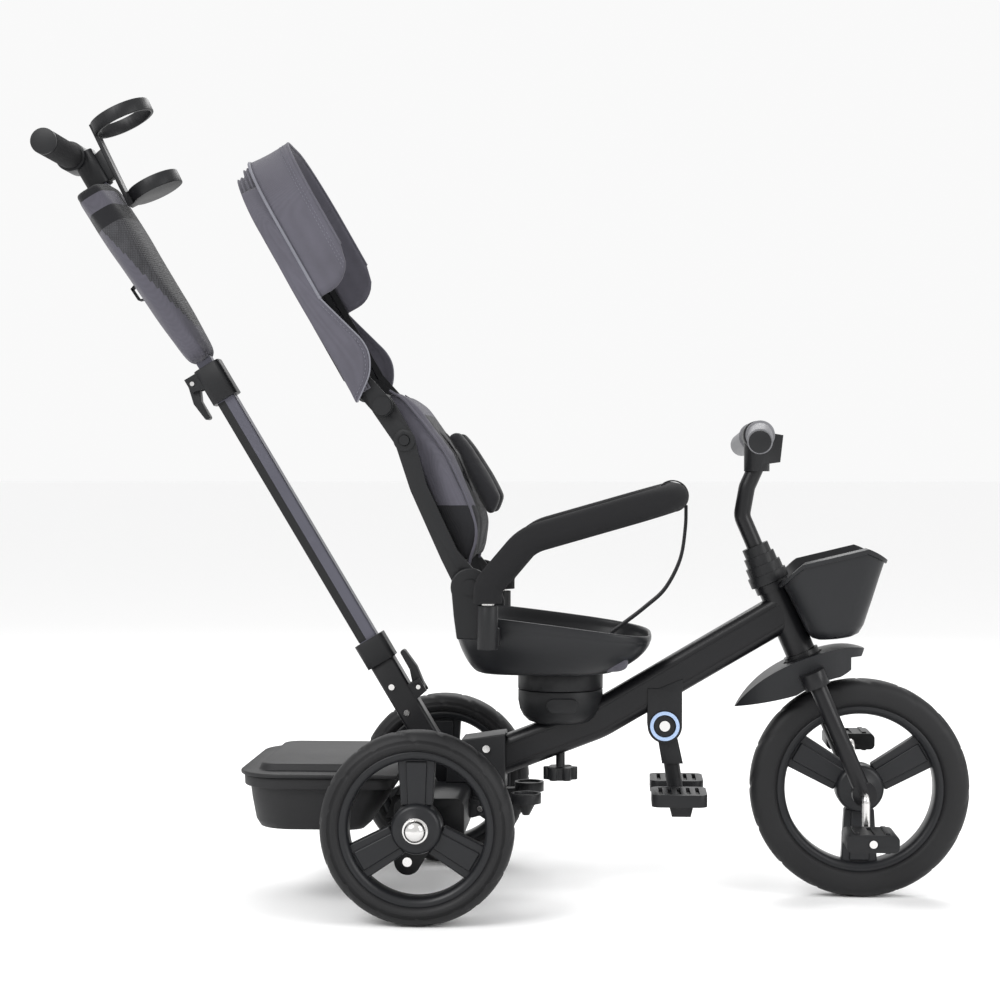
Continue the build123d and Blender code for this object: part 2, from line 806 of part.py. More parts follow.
def basket_solid(inset, lift):
    """Bucket outline in the side view, with rounded plan corners."""
    with BuildPart() as piece:
        with BuildSketch(side_plane()) as profile:
            with BuildLine():
                Polyline(
                    (404 + inset, 343 + inset),
                    (462 - inset, 350 + inset),
                    (482 - inset, 372 + inset),
                    (497 - inset, 432 + lift),
                    (440, 458 + lift),
                    (390, 446 + lift),
                    (358 + inset, 414 + lift),
                    (372 + inset, 396),
                    close=True,
                )
            make_face()
            fillet(profile.vertices().group_by(Axis.Y)[0], 8)
        extrude(amount=BASKET_HALF_WIDTH - inset, both=True)
        with BuildSketch(Plane.XY.offset(300)):
            with Locations((427, 0)):
                RectangleRounded(
                    2 * (72 - inset), 2 * (BASKET_HALF_WIDTH - inset), 34 - inset
                )
        extrude(amount=260, mode=Mode.INTERSECT)
    return piece.part


with BuildPart() as front_basket:
    add(basket_solid(0, 0))
    add(basket_solid(BASKET_WALL, 30), mode=Mode.SUBTRACT)
    steering_room = rod(
        steer_point(100), steer_point(COLLAR_LOW), HEAD_TUBE_RADIUS + 8
    )
    add(steering_room, mode=Mode.SUBTRACT)
    add(rod(steer_point(COLLAR_LOW), steer_point(STEM_START + 60), 29), mode=Mode.SUBTRACT)
basket_shell = front_basket.part.solids().sort_by(SortBy.VOLUME)[-1]

with BuildPart() as basket_bracket:
    arm_plane = steer_plane(COLLAR_LOW + 14)
    with BuildSketch(arm_plane):
        with Locations((40, 0)):
            Rectangle(56, 30)
    extrude(amount=6)
    add(collar_cover.part, mode=Mode.SUBTRACT)
    add(rod(steer_point(0), steer_point(STEM_START + 60), STEERER_RADIUS), mode=Mode.SUBTRACT)
    add(front_basket.part, mode=Mode.SUBTRACT)
basket_arm = basket_bracket.part.solids().sort_by(SortBy.VOLUME)[-1]
group("front_basket", basket_shell, basket_arm)

# ---------------------------------------------------------------- front fender
FENDER_INNER = 156.0
with BuildPart() as front_fender:
    with BuildSketch(side_plane()):
        with BuildLine():
            Spline(
                (301, 252), (333, 288), (368, 310), (413, 327), (450, 334), (472, 331)
            )
            Spline((472, 331), (452, 304), (424, 289), (393, 276), (345, 262), (301, 252))
        make_face()
    extrude(amount=46, both=True)
    with BuildSketch(Plane.XY.offset(230)) as plan:
        with BuildLine():
            Spline((298, 0), (345, 38), (395, 46), (440, 38), (476, 0))
            mirror(about=Plane.XZ)
        make_face()
    extrude(amount=130, mode=Mode.INTERSECT)
    wheel_room = along_y(FRONT_AXLE_X, FRONT_RADIUS, FENDER_INNER + 20, -31, 31)
    add(wheel_room, mode=Mode.SUBTRACT)
    tyre_room = along_y(FRONT_AXLE_X, FRONT_RADIUS, FENDER_INNER - 3, -60, 60)
    add(tyre_room, mode=Mode.SUBTRACT)
    add(fork_crown.part, mode=Mode.SUBTRACT)
    add(rod(steer_point(CROWN_LOW), steer_point(STEM_START), STEERER_RADIUS), mode=Mode.SUBTRACT)
    add(
        rod(steer_point(HEAD_TUBE_LOW - 1.5), steer_point(STEM_START), 27),
        mode=Mode.SUBTRACT,
    )
save("front_fender", front_fender.part.solids().sort_by(SortBy.VOLUME)[-1])

# ---------------------------------------------------------------- push bar
LOWER_LEVER_AT = (132.0, 26.0)
LEVER_PIN_RADIUS = 3.0
handle_receiver_low = -30.0
with BuildPart() as handle_receiver:
    with BuildSketch(handle_plane(handle_receiver_low)):
        RectangleRounded(RECEIVER_SIZE, RECEIVER_SIZE, 5)
    extrude(amount=RECEIVER_LENGTH - handle_receiver_low)
    for y in (-13.5, 13.5):
        ear = side_slab(
            [
                handle_point(118, 10)[::2],
                handle_point(122, 33)[::2],
                handle_point(141, 33)[::2],
                handle_point(142, 10)[::2],
            ],
            y - 2.5,
            y + 2.5,
        )
        add(ear)
    with BuildSketch(handle_plane(20)):
        Rectangle(LOWER_TUBE_SIZE, LOWER_TUBE_SIZE)
    extrude(amount=RECEIVER_LENGTH, mode=Mode.SUBTRACT)
    below = Box(400, 200, 200, align=(Align.CENTER, Align.CENTER, Align.MAX), mode=Mode.PRIVATE)
    add(below.moved(Location((HANDLE_FOOT[0], 0, HANDLE_FOOT[1]))), mode=Mode.SUBTRACT)
    lever_hole = along_y(*handle_point(*LOWER_LEVER_AT)[::2], LEVER_PIN_RADIUS, -20, 20)
    add(lever_hole, mode=Mode.SUBTRACT)
save("handle_receiver", handle_receiver.part.solids().sort_by(SortBy.VOLUME)[-1])

with BuildPart() as lower_push_tube:
    with BuildSketch(handle_plane(22)):
        RectangleRounded(LOWER_TUBE_SIZE, LOWER_TUBE_SIZE, 3)
        RectangleRounded(
            LOWER_TUBE_SIZE - 2 * LOWER_TUBE_WALL,
            LOWER_TUBE_SIZE - 2 * LOWER_TUBE_WALL,
            1.5,
            mode=Mode.SUBTRACT,
        )
    extrude(amount=LOWER_TUBE_END - 22)
save("lower_push_tube", lower_push_tube.part)


def tube_collar(low, high, outer, bore):
    """Moulded collar around the push bar."""
    with BuildPart() as collar:
        with BuildSketch(handle_plane(low)):
            RectangleRounded(outer, outer, 8)
            RectangleRounded(bore, bore, 3, mode=Mode.SUBTRACT)
        extrude(amount=high - low)
    return collar.part


receiver_collar = tube_collar(RECEIVER_LENGTH, RECEIVER_LENGTH + 36, 42, LOWER_TUBE_SIZE)
UPPER_CLAMP_LOW = LOWER_TUBE_END - 52
UPPER_LEVER_AT = (LOWER_TUBE_END - 12, -28.0)
with BuildPart() as upper_clamp:
    add(tube_collar(UPPER_CLAMP_LOW, LOWER_TUBE_END, 38, LOWER_TUBE_SIZE))
    for y in (-13.5, 13.5):
        ear = side_slab(
            [
                handle_point(LOWER_TUBE_END - 26, -15)[::2],
                handle_point(LOWER_TUBE_END - 22, -35)[::2],
                handle_point(LOWER_TUBE_END - 2, -35)[::2],
                handle_point(LOWER_TUBE_END - 2, -15)[::2],
            ],
            y - 2.5,
            y + 2.5,
        )
        add(ear)
    upper_hole = along_y(*handle_point(*UPPER_LEVER_AT)[::2], LEVER_PIN_RADIUS, -20, 20)
    add(upper_hole, mode=Mode.SUBTRACT)
    add(lower_push_tube.part, mode=Mode.SUBTRACT)
    tube_room = Box(LOWER_TUBE_SIZE, LOWER_TUBE_SIZE, 900, mode=Mode.PRIVATE)
    add(tube_room.moved(handle_plane(LOWER_TUBE_END).location), mode=Mode.SUBTRACT)
group("push_bar_collars", receiver_collar, upper_clamp.part)


def quick_lever(pivot, along, forward):
    """Quick-release lever: a boss on its pin and a blade that lies along the push bar."""
    x, z = handle_point(*pivot)[::2]
    tip = handle_point(pivot[0] + along, pivot[1] + forward)[::2]
    middle = handle_point(pivot[0] + along * 0.5, pivot[1] + forward * 1.2)[::2]
    with BuildPart() as lever:
        for start, end, radii in (
            ((x, z), middle, (7.5, 5)),
            (middle, tip, (5, 3.5)),
        ):
            with BuildSketch(side_plane(10)):
                with Locations(start):
                    Circle(radii[0])
                with Locations(end):
                    Circle(radii[1])
                make_hull()
            extrude(amount=20)
        add(along_y(x, z, LEVER_PIN_RADIUS + RUNNING_GAP, -12, 12), mode=Mode.SUBTRACT)
    return lever.part


save("lower_lever", quick_lever(LOWER_LEVER_AT, 50, 5))
save("upper_lever", quick_lever(UPPER_LEVER_AT, -48, -7))

# ---------------------------------------------------------------- push handle
UPPER_TUBE_SIZE = LOWER_TUBE_SIZE - 2 * LOWER_TUBE_WALL - 2 * SLIDE_GAP
JOINT_LOW = UPPER_TUBE_END - 52
JOINT_SIZE = 32.0
GRIP_BAR_RADIUS = 11.0
grip_x, _, grip_z = handle_point(UPPER_TUBE_END, -12)

with BuildPart() as upper_push_tube:
    with BuildSketch(handle_plane(LOWER_TUBE_END - TUBE_OVERLAP)):
        RectangleRounded(UPPER_TUBE_SIZE, UPPER_TUBE_SIZE, 1.2)
        Rectangle(UPPER_TUBE_SIZE - 4, UPPER_TUBE_SIZE - 4, mode=Mode.SUBTRACT)
    extrude(amount=UPPER_TUBE_END - 18 - LOWER_TUBE_END + TUBE_OVERLAP)
handle_bar = along_y(grip_x, grip_z, GRIP_BAR_RADIUS, -HANDLE_HALF_WIDTH, HANDLE_HALF_WIDTH)
group("upper_push_tube", upper_push_tube.part, handle_bar)

with BuildPart() as handle_joint:
    add(along_y(grip_x, grip_z, 20, -25, 25))
    with BuildSketch(handle_plane(JOINT_LOW)):
        RectangleRounded(JOINT_SIZE, JOINT_SIZE, 7)
    extrude(amount=UPPER_TUBE_END - 2 - JOINT_LOW)
    with BuildSketch(handle_plane(UPPER_TUBE_END - 70)):
        Rectangle(UPPER_TUBE_SIZE, UPPER_TUBE_SIZE)
    extrude(amount=52, mode=Mode.SUBTRACT)
    add(handle_bar, mode=Mode.SUBTRACT)
joint_body = handle_joint.part.solids().sort_by(SortBy.VOLUME)[-1]


def handle_foam(side):
    start, stop = sorted((side * 26, side * (HANDLE_HALF_WIDTH - 2)))
    return along_y(grip_x, grip_z, HANDLE_GRIP_RADIUS, start, stop, GRIP_BAR_RADIUS)


def handle_cap(side):
    start, stop = sorted((side * HANDLE_HALF_WIDTH, side * (HANDLE_HALF_WIDTH + 4)))
    return along_y(grip_x, grip_z, HANDLE_GRIP_RADIUS, start, stop)


group("handle_foam", handle_foam(1), handle_foam(-1))

# ---------------------------------------------------------------- cup holder
CUP_LEAN = 26.0
CUP_BASE = (-481.0, 951.0)
CUP_HEIGHT = 104.0
CUP_RING_OUTER = 43.0
CUP_RING_BORE = 38.5
CUP_BASE_OUTER = 36.5
CUP_BAND = 18.0
CUP_SPINE_THICK = 9.0
CUP_SPINE_INNER = 39.5
cup_plane = Plane(
    origin=(CUP_BASE[0], 0, CUP_BASE[1]),
    x_dir=(cos(radians(CUP_LEAN)), 0, sin(radians(CUP_LEAN))),
    z_dir=(-sin(radians(CUP_LEAN)), 0, cos(radians(CUP_LEAN))),
)
with BuildPart(cup_plane) as cup_holder:
    from_base = (Align.CENTER, Align.CENTER, Align.MIN)
    with Locations((0, 0, -CUP_BAND / 2)):
        Cylinder(CUP_BASE_OUTER, CUP_BAND, align=from_base)
    with Locations((0, 0, CUP_HEIGHT - CUP_BAND / 2)):
        Cylinder(CUP_RING_OUTER, CUP_BAND, align=from_base)
    with Locations((-CUP_BASE_OUTER - 2, 0, -CUP_BAND / 2)):
        Box(CUP_SPINE_THICK, 26, CUP_HEIGHT + CUP_BAND, align=from_base)
    with Locations((0, 0, 3 - CUP_BAND / 2)):
        Cylinder(CUP_BASE_OUTER - 4, CUP_BAND, align=from_base, mode=Mode.SUBTRACT)
    with Locations((0, 0, CUP_BAND / 2)):
        Cylinder(
            CUP_SPINE_INNER, CUP_HEIGHT - CUP_BAND, align=from_base, mode=Mode.SUBTRACT
        )
    with Locations((0, 0, CUP_HEIGHT - CUP_BAND / 2)):
        Cylinder(CUP_RING_BORE, CUP_BAND, align=from_base, mode=Mode.SUBTRACT)
save("cup_holder", cup_holder.part.solids().sort_by(SortBy.VOLUME)[-1])

with BuildPart() as cup_bracket:
    add(side_slab(
        [
            handle_point(JOINT_LOW + 2, JOINT_SIZE / 2)[::2],
            handle_point(JOINT_LOW - 4, 50)[::2],
            handle_point(JOINT_LOW + 46, 50)[::2],
            handle_point(JOINT_LOW + 40, JOINT_SIZE / 2)[::2],
        ],
        -11,
        11,
    ))
    add(cup_holder.part, mode=Mode.SUBTRACT)
    cup_room = rod(
        tuple(cup_plane.from_local_coords((0, 0, -60))),
        tuple(cup_plane.from_local_coords((0, 0, 160))),
        CUP_RING_OUTER - 1,
    )
    add(cup_room, mode=Mode.SUBTRACT)
    add(joint_body, mode=Mode.SUBTRACT)
cup_arm = cup_bracket.part.solids().sort_by(SortBy.VOLUME)[-1]
group("handle_joint", joint_body, cup_arm, handle_cap(1), handle_cap(-1))

# ---------------------------------------------------------------- organiser bag
BAG_LOW = LOWER_TUBE_END + 6
BAG_HIGH = JOINT_LOW - 3
with BuildPart() as organiser_bag:
    with BuildSketch(handle_plane(BAG_LOW)):
        RectangleRounded(40, 76, 12)
    with BuildSketch(handle_plane(BAG_HIGH, -9)):
        RectangleRounded(48, 150, 20)
    loft()
    with BuildSketch(handle_plane(BAG_LOW - 2)):
        Rectangle(UPPER_TUBE_SIZE, UPPER_TUBE_SIZE)
    extrude(amount=BAG_HIGH - BAG_LOW + 4, mode=Mode.SUBTRACT)
save("organiser_bag", organiser_bag.part)

# ---------------------------------------------------------------- seat base
SWIVEL_PIN_RADIUS = 10.0
BUTTON_X = 72.0
BUTTON_Z = 257.0
BUTTON_PROUD = 3.0
BUTTON_TRAVEL = 2.5


def button_slug(grow, y_low, y_high):
    with BuildPart() as slug:
        with BuildSketch(side_plane(y_high)):
            with Locations((BUTTON_X, BUTTON_Z)):
                SlotOverall(42 + 2 * grow, 19 + 2 * grow)
        extrude(amount=y_high - y_low)
    return slug.part


with BuildPart() as swivel_base:
    with BuildSketch(Plane.XZ):
        with BuildLine():
            Polyline(
                (SEAT_X, SWIVEL_LOW),
                (SEAT_X + 40, SWIVEL_LOW),
                (SEAT_X + 52, 240),
                (SEAT_X + SWIVEL_RADIUS, 262),
                (SEAT_X + SWIVEL_RADIUS, SWIVEL_SPLIT),
                (SEAT_X, SWIVEL_SPLIT),
                close=True,
            )
        make_face()
    revolve(axis=Axis((SEAT_X, 0, 0), (0, 0, 1)))
    add(beam_outer, mode=Mode.SUBTRACT)
    add(button_slug(SLIDE_GAP, -SWIVEL_RADIUS - 6, -44), mode=Mode.SUBTRACT)
    pin_socket = rod((SEAT_X, 0, 262), (SEAT_X, 0, 300), SWIVEL_PIN_RADIUS)
    add(pin_socket, mode=Mode.SUBTRACT)
    stem_socket = rod((SEAT_X, 0, 150), (SEAT_X, 0, 256), STEM_KNOB_RADIUS + RUNNING_GAP)
    add(stem_socket, mode=Mode.SUBTRACT)
save("swivel_base", swivel_base.part.solids().sort_by(SortBy.VOLUME)[-1])
save("swivel_button", button_slug(0, -SWIVEL_RADIUS - BUTTON_PROUD, -49))
swivel_pin = rod((SEAT_X, 0, 262), (SEAT_X, 0, 290), SWIVEL_PIN_RADIUS)

with BuildPart() as seat_knob:
    with BuildSketch(Plane.XY.offset(152)):
        with Locations((SEAT_X, 0)):
            Circle(18)
            with PolarLocations(17, 6):
                Circle(6)
    extrude(amount=17)
    add(rod((SEAT_X, 0, 169), (SEAT_X, 0, 254), STEM_KNOB_RADIUS))
save("seat_knob", seat_knob.part)

with BuildPart() as swivel_top:
    add(rod((SEAT_X, 0, SWIVEL_SPLIT + SLIDE_GAP), (SEAT_X, 0, SEAT_BOTTOM), SWIVEL_RADIUS))
    top_bore = rod(
        (SEAT_X, 0, SWIVEL_SPLIT), (SEAT_X, 0, 292), SWIVEL_PIN_RADIUS + RUNNING_GAP
    )
    add(top_bore, mode=Mode.SUBTRACT)

# ---------------------------------------------------------------- seat bucket
DISH_RADIUS = 106.0
DISH_REACH = 120.0
DISH_SLOPE = tan(radians(BEAM_RISE))
PIVOT_EAR = 25.0
PIVOT_SCREW_RADIUS = 5.0
EAR_THICK = 8.0


def plan_block(x_low, x_high, half_width, corner, low, high):
    """Rounded rectangle in the plan view, raised between two levels."""
    with BuildPart() as block:
        with BuildSketch(Plane.XY.offset(low)):
            with Locations(((x_low + x_high) / 2, 0)):
                RectangleRounded(x_high - x_low, 2 * half_width, corner)
        extrude(amount=high - low)
    return block.part


def seat_dish(inset):
    """Room above the beam that the turning seat may fill: a dish about its swivel axis."""
    rim = DISH_RADIUS - 0.274 * inset
    floor_level = SEAT_BOTTOM + inset
    with BuildPart() as dish:
        with BuildSketch(Plane.XZ):
            with BuildLine():
                Polyline(
                    (SEAT_X, floor_level - 12),
                    (SEAT_X + rim, floor_level - 12),
                    (SEAT_X + rim, floor_level),
                    (SEAT_X + rim + DISH_REACH, floor_level + DISH_REACH * DISH_SLOPE),
                    (SEAT_X + rim + DISH_REACH, 480),
                    (SEAT_X, 480),
                    close=True,
                )
            make_face()
        revolve(axis=Axis((SEAT_X, 0, 0), (0, 0, 1)))
    return dish.part


def seat_side(inset):
    """The bucket's side view, shrunk by inset; the inner one is open at the top."""
    lift = 60 if inset else 0
    return side_slab(
        [
            (SEAT_BACK + inset, 385 + lift),
            (SEAT_BACK + 4 + inset, 340),
            (SEAT_BACK + 16 + inset, 308 + inset),
            (SEAT_BACK + 34 + inset, SEAT_BOTTOM + inset),
            (SEAT_FRONT - 58, SEAT_BOTTOM + inset),
            (SEAT_FRONT - 20 - inset, 308 + inset),
            (SEAT_FRONT - inset, 330),
            (SEAT_FRONT - 3 - inset, 350 + lift),
            (60, 366 + lift),
            (-30, 376 + lift),
        ],
        inset - SEAT_HALF_WIDTH,
        SEAT_HALF_WIDTH - inset,
    )


with BuildPart() as seat_cavity:
    add(seat_side(SEAT_WALL))
    inner_plan = plan_block(
        SEAT_BACK + SEAT_WALL,
        SEAT_FRONT - SEAT_WALL,
        SEAT_HALF_WIDTH - SEAT_WALL,
        30,
        290,
        470,
    )
    add(inner_plan, mode=Mode.INTERSECT)
    add(seat_dish(SEAT_WALL), mode=Mode.INTERSECT)

pivot_bore = along_y(
    PIVOT_X, PIVOT_Z, PIVOT_SCREW_RADIUS, -SEAT_HALF_WIDTH - 5, SEAT_HALF_WIDTH + 5
)
with BuildPart() as seat_bucket:
    add(seat_side(0))
    add(plan_block(SEAT_BACK, SEAT_FRONT, SEAT_HALF_WIDTH, 38, 290, 420), mode=Mode.INTERSECT)
    add(seat_dish(0), mode=Mode.INTERSECT)
    for side in (-1, 1):
        with BuildSketch(side_plane(side * (SEAT_HALF_WIDTH - EAR_THICK / 2))):
            with Locations((PIVOT_X, PIVOT_Z)):
                Circle(PIVOT_EAR)
            with Locations((-33, 350)):
                Rectangle(50, 20)
            make_hull()
        extrude(amount=EAR_THICK / 2, both=True)
    add(seat_cavity.part, mode=Mode.SUBTRACT)
    add(pivot_bore, mode=Mode.SUBTRACT)
save("seat_bucket", seat_bucket.part.solids().sort_by(SortBy.VOLUME)[-1])


def recline_screw(side):
    """Pivot screw of the backrest with a broad head outside the seat's ear."""
    with BuildPart() as screw:
        shank = sorted((side * 110, side * (SEAT_HALF_WIDTH + 4)))
        head = sorted((side * SEAT_HALF_WIDTH, side * (SEAT_HALF_WIDTH + 4)))
        add(along_y(PIVOT_X, PIVOT_Z, PIVOT_SCREW_RADIUS, *shank))
        add(along_y(PIVOT_X, PIVOT_Z, 10, *head))
    return screw.part


group("recline_screws", recline_screw(1), recline_screw(-1))

with BuildPart() as seat_pad:
    add(plan_block(-36, 164, 108, 30, SEAT_BOTTOM + SEAT_WALL + 0.4, 334))
    add(seat_cavity.part, mode=Mode.INTERSECT)
    add(seat_dish(SEAT_WALL + 0.4), mode=Mode.INTERSECT)
save("seat_pad", seat_pad.part)

# ---------------------------------------------------------------- safety bar
SOCKET_LOW = 340.0
SOCKET_HIGH = 396.0
SAFETY_FOOT_Z = 372.0


def bar_socket(side):
    """Socket post on one side of the seat that takes the safety bar's leg."""
    y = side * SAFETY_Y
    inner, outer = sorted((side * SEAT_HALF_WIDTH, side * (SAFETY_Y - 6)))
    with BuildPart() as socket:
        add(rod((SAFETY_X, y, SOCKET_LOW), (SAFETY_X, y, SOCKET_HIGH), 13))
        add(side_slab(
            [
                (SAFETY_X - 14, 344),
                (SAFETY_X + 14, 344),
                (SAFETY_X + 14, 366),
                (SAFETY_X - 14, 366),
            ],
            inner,
            outer,
        ))
        leg_hole = rod(
            (SAFETY_X, y, SAFETY_FOOT_Z - 4),
            (SAFETY_X, y, SOCKET_HIGH + 1),
            SAFETY_TUBE_RADIUS + RUNNING_GAP,
        )
        add(leg_hole, mode=Mode.SUBTRACT)
    return socket.part


group("seat_fittings", swivel_top.part, bar_socket(1), bar_socket(-1))

SAFETY_FRONT_X = 218.0
SAFETY_FRONT_Z = 533.0


def safety_route(start_z):
    """Corners of the safety bar's centreline from one leg round to the other."""
    right = [
        (SAFETY_X, -SAFETY_Y, start_z),
        (SAFETY_X, -SAFETY_Y, 420),
        (30, -SAFETY_Y, 479),
        (SAFETY_FRONT_X, -SAFETY_Y + 10, SAFETY_FRONT_Z),
    ]
    left = [(x, -y, z) for x, y, z in reversed(right)]
    return right + left


SAFETY_BENDS = [26, 60, 70, 70, 60, 26]
save("safety_bar_tube", bent_tube(safety_route(SAFETY_FOOT_Z), SAFETY_BENDS, SAFETY_TUBE_RADIUS))
safety_foam = bent_tube(
    safety_route(SOCKET_HIGH + 3), SAFETY_BENDS, SAFETY_FOAM_RADIUS, SAFETY_TUBE_RADIUS
)
save("safety_bar_foam", safety_foam)

with BuildPart() as crotch_strap:
    strap_ring = along_y(
        SAFETY_FRONT_X, SAFETY_FRONT_Z, SAFETY_FOAM_RADIUS + 3, -17, 17
    )
    add(strap_ring)
    add(side_slab(
        [
            (SAFETY_FRONT_X + 14, SAFETY_FRONT_Z - 12),
            (SAFETY_FRONT_X + 18, 490),
            (SAFETY_FRONT_X + 12, 447),
            (SAFETY_FRONT_X - 8, 408),
            (SAFETY_FRONT_X - 36, 382),
            (SAFETY_FRONT_X - 39, 385),
            (SAFETY_FRONT_X - 12, 411),
            (SAFETY_FRONT_X + 8, 449),
            (SAFETY_FRONT_X + 13, 490),
            (SAFETY_FRONT_X + 10, SAFETY_FRONT_Z - 14),
        ],
        -17,
        17,
    ))
    foam_room = along_y(SAFETY_FRONT_X, SAFETY_FRONT_Z, SAFETY_FOAM_RADIUS, -18, 18)
    add(foam_room, mode=Mode.SUBTRACT)
save("crotch_strap", crotch_strap.part.solids().sort_by(SortBy.VOLUME)[-1])

# ---------------------------------------------------------------- backrest
RAIL_IN = 112.0
RAIL_OUT = 121.0
HUB_SIZE = 15.0
HUB_LAYER = 2.6
CANOPY_PIN_RADIUS = 4.0
RAIL_ROUTE = [
    ((PIVOT_X, PIVOT_Z), 18),
    ((-72, 458), 12),
    ((-112, 545), 11),
    (CANOPY_LOCK, 13),
    (CANOPY_HUB, HUB_SIZE),
]
LOCK_BUTTON_RADIUS = 6.6


def rail(side):
    """Side rail of the backrest, from the recline pivot up to the canopy hub."""
    with BuildPart() as strip:
        for (start, first), (end, second) in zip(RAIL_ROUTE, RAIL_ROUTE[1:]):
            with BuildSketch(side_plane(side * (RAIL_IN + RAIL_OUT) / 2)):
                with Locations(start):
                    Circle(first)
                with Locations(end):
                    Circle(second)
                make_hull()
            extrude(amount=(RAIL_OUT - RAIL_IN) / 2, both=True)
        low, high = sorted((side * RAIL_OUT, side * (RAIL_OUT + 3)))
        add(along_y(*CANOPY_LOCK, 14, low, high))
        low, high = sorted((side * (RAIL_OUT - 5), side * (RAIL_OUT + 4)))
        add(along_y(*CANOPY_LOCK, LOCK_BUTTON_RADIUS + SLIDE_GAP, low, high), mode=Mode.SUBTRACT)
        low, high = sorted((side * (RAIL_IN - 1), side * (RAIL_OUT + 1)))
        add(along_y(*CANOPY_HUB, CANOPY_PIN_RADIUS, low, high), mode=Mode.SUBTRACT)
        screw_room = PIVOT_SCREW_RADIUS + RUNNING_GAP
        add(along_y(PIVOT_X, PIVOT_Z, screw_room, low, high), mode=Mode.SUBTRACT)
    return strip.part


SHELL_LINE = [(-70, 440), (-96, 500), (-122, 560), (-141, 615), (-166, 668)]
SHELL_THICK = 6.0
shell_front = [(x + SHELL_THICK, z) for x, z in SHELL_LINE]
with BuildPart() as backrest_shell:
    add(side_slab(SHELL_LINE + shell_front[::-1], -RAIL_IN, RAIL_IN))
    for side in (-1, 1):
        add(rail(side))
save("backrest_shell", backrest_shell.part.solids().sort_by(SortBy.VOLUME)[-1])

CUSHION_FRONT = [
    (-38, 442),
    (-30, 497),
    (-67, 586),
    (-120, 656),
    (-146, 676),
    (-158, 676),
]
cushion_back = [(x + SHELL_THICK + 0.5, z) for x, z in SHELL_LINE]
cushion_outline = CUSHION_FRONT + cushion_back[::-1]
save("backrest_cushion", side_slab(cushion_outline, -RAIL_IN + 5, RAIL_IN - 5))

HARNESS_OUTLINE = [(-80, 614), (-64, 622), (-6, 532), (-16, 508), (-26, 505), (-60, 592)]
group(
    "harness_pads",
    side_slab(HARNESS_OUTLINE, 26, 66),
    side_slab(HARNESS_OUTLINE, -66, -26),
)

# ---------------------------------------------------------------- canopy
BOW_WIDTH = CANOPY_HALF_WIDTH - 6.5
BOW_TOP = CANOPY_TOP - 16
BOW_FOOT = 52.0
BOW_THICK = 3.0


def arch(half_width, top, corner, bottom):
    """Sketch of a bow's outline: straight sides with a rounded top."""
    with BuildSketch() as outline:
        with Locations((0, (bottom + top) / 2)):
            Rectangle(2 * half_width, top - bottom)
        fillet(outline.vertices().group_by(Axis.Y)[-1], corner)
    return outline.sketch


def band(start, depth, half_width, top, thick, bottom):
    """Arch-shaped band of even wall between two planes of the canopy."""
    with BuildPart() as strip:
        with BuildSketch(canopy_plane(start)):
            add(arch(half_width, top, CANOPY_CORNER, bottom))
            inner = arch(half_width - thick, top - thick, CANOPY_CORNER - thick, bottom - 1)
            add(inner, mode=Mode.SUBTRACT)
        extrude(amount=depth)
    return strip.part


def canopy_point(up, out):
    return (
        CANOPY_HUB[0] + up * CANOPY_UP[0] + out * CANOPY_OUT[0],
        CANOPY_HUB[1] + up * CANOPY_UP[2] + out * CANOPY_OUT[2],
    )


def canopy_bow(layer, out_low):
    """One sprung bow: a disc on the hub pin, an arm each side and the arch over the top."""
    depth = 8.0
    inner_y = RAIL_OUT + SLIDE_GAP + layer * (HUB_LAYER + SLIDE_GAP)
    outer_y = inner_y + HUB_LAYER
    with BuildPart() as bow:
        add(band(out_low, depth, BOW_WIDTH, BOW_TOP, BOW_THICK, BOW_FOOT))
        for side in (-1, 1):
            low, high = sorted((side * inner_y, side * outer_y))
            with BuildSketch(side_plane(high)):
                with Locations(CANOPY_HUB):
                    Circle(HUB_SIZE - 1)
                with Locations(canopy_point(BOW_FOOT + 6, out_low + depth / 2)):
                    Circle(depth / 2)
                make_hull()
            extrude(amount=HUB_LAYER)
            low, high = sorted((side * inner_y, side * BOW_WIDTH))
            step = side_slab(
                [
                    canopy_point(BOW_FOOT, out_low),
                    canopy_point(BOW_FOOT + 10, out_low),
                    canopy_point(BOW_FOOT + 10, out_low + depth),
                    canopy_point(BOW_FOOT, out_low + depth),
                ],
                low,
                high,
            )
            add(step)
            low, high = sorted((side * (inner_y - 1), side * (outer_y + 1)))
            pin_hole = along_y(*CANOPY_HUB, CANOPY_PIN_RADIUS + RUNNING_GAP, low, high)
            add(pin_hole, mode=Mode.SUBTRACT)
    return bow.part


save("canopy_bow_rear", canopy_bow(0, -27.0))
save("canopy_bow_middle", canopy_bow(1, -17.0))
save("canopy_bow_front", canopy_bow(2, -7.0))


def canopy_pin(side):
    head_at = RAIL_OUT + 3 * (HUB_LAYER + SLIDE_GAP) + SLIDE_GAP
    with BuildPart() as pin:
        low, high = sorted((side * RAIL_IN, side * head_at))
        add(along_y(*CANOPY_HUB, CANOPY_PIN_RADIUS, low, high))
        low, high = sorted((side * head_at, side * (head_at + 3)))
        add(along_y(*CANOPY_HUB, HUB_SIZE - 3, low, high))
    return pin.part


group("canopy_pins", canopy_pin(1), canopy_pin(-1))


def lock_button(side):
    low, high = sorted((side * (RAIL_OUT - 1), side * (RAIL_OUT + 5.5)))
    return along_y(*CANOPY_LOCK, LOCK_BUTTON_RADIUS, low, high)


save("canopy_button_left", lock_button(1))
save("canopy_button_right", lock_button(-1))

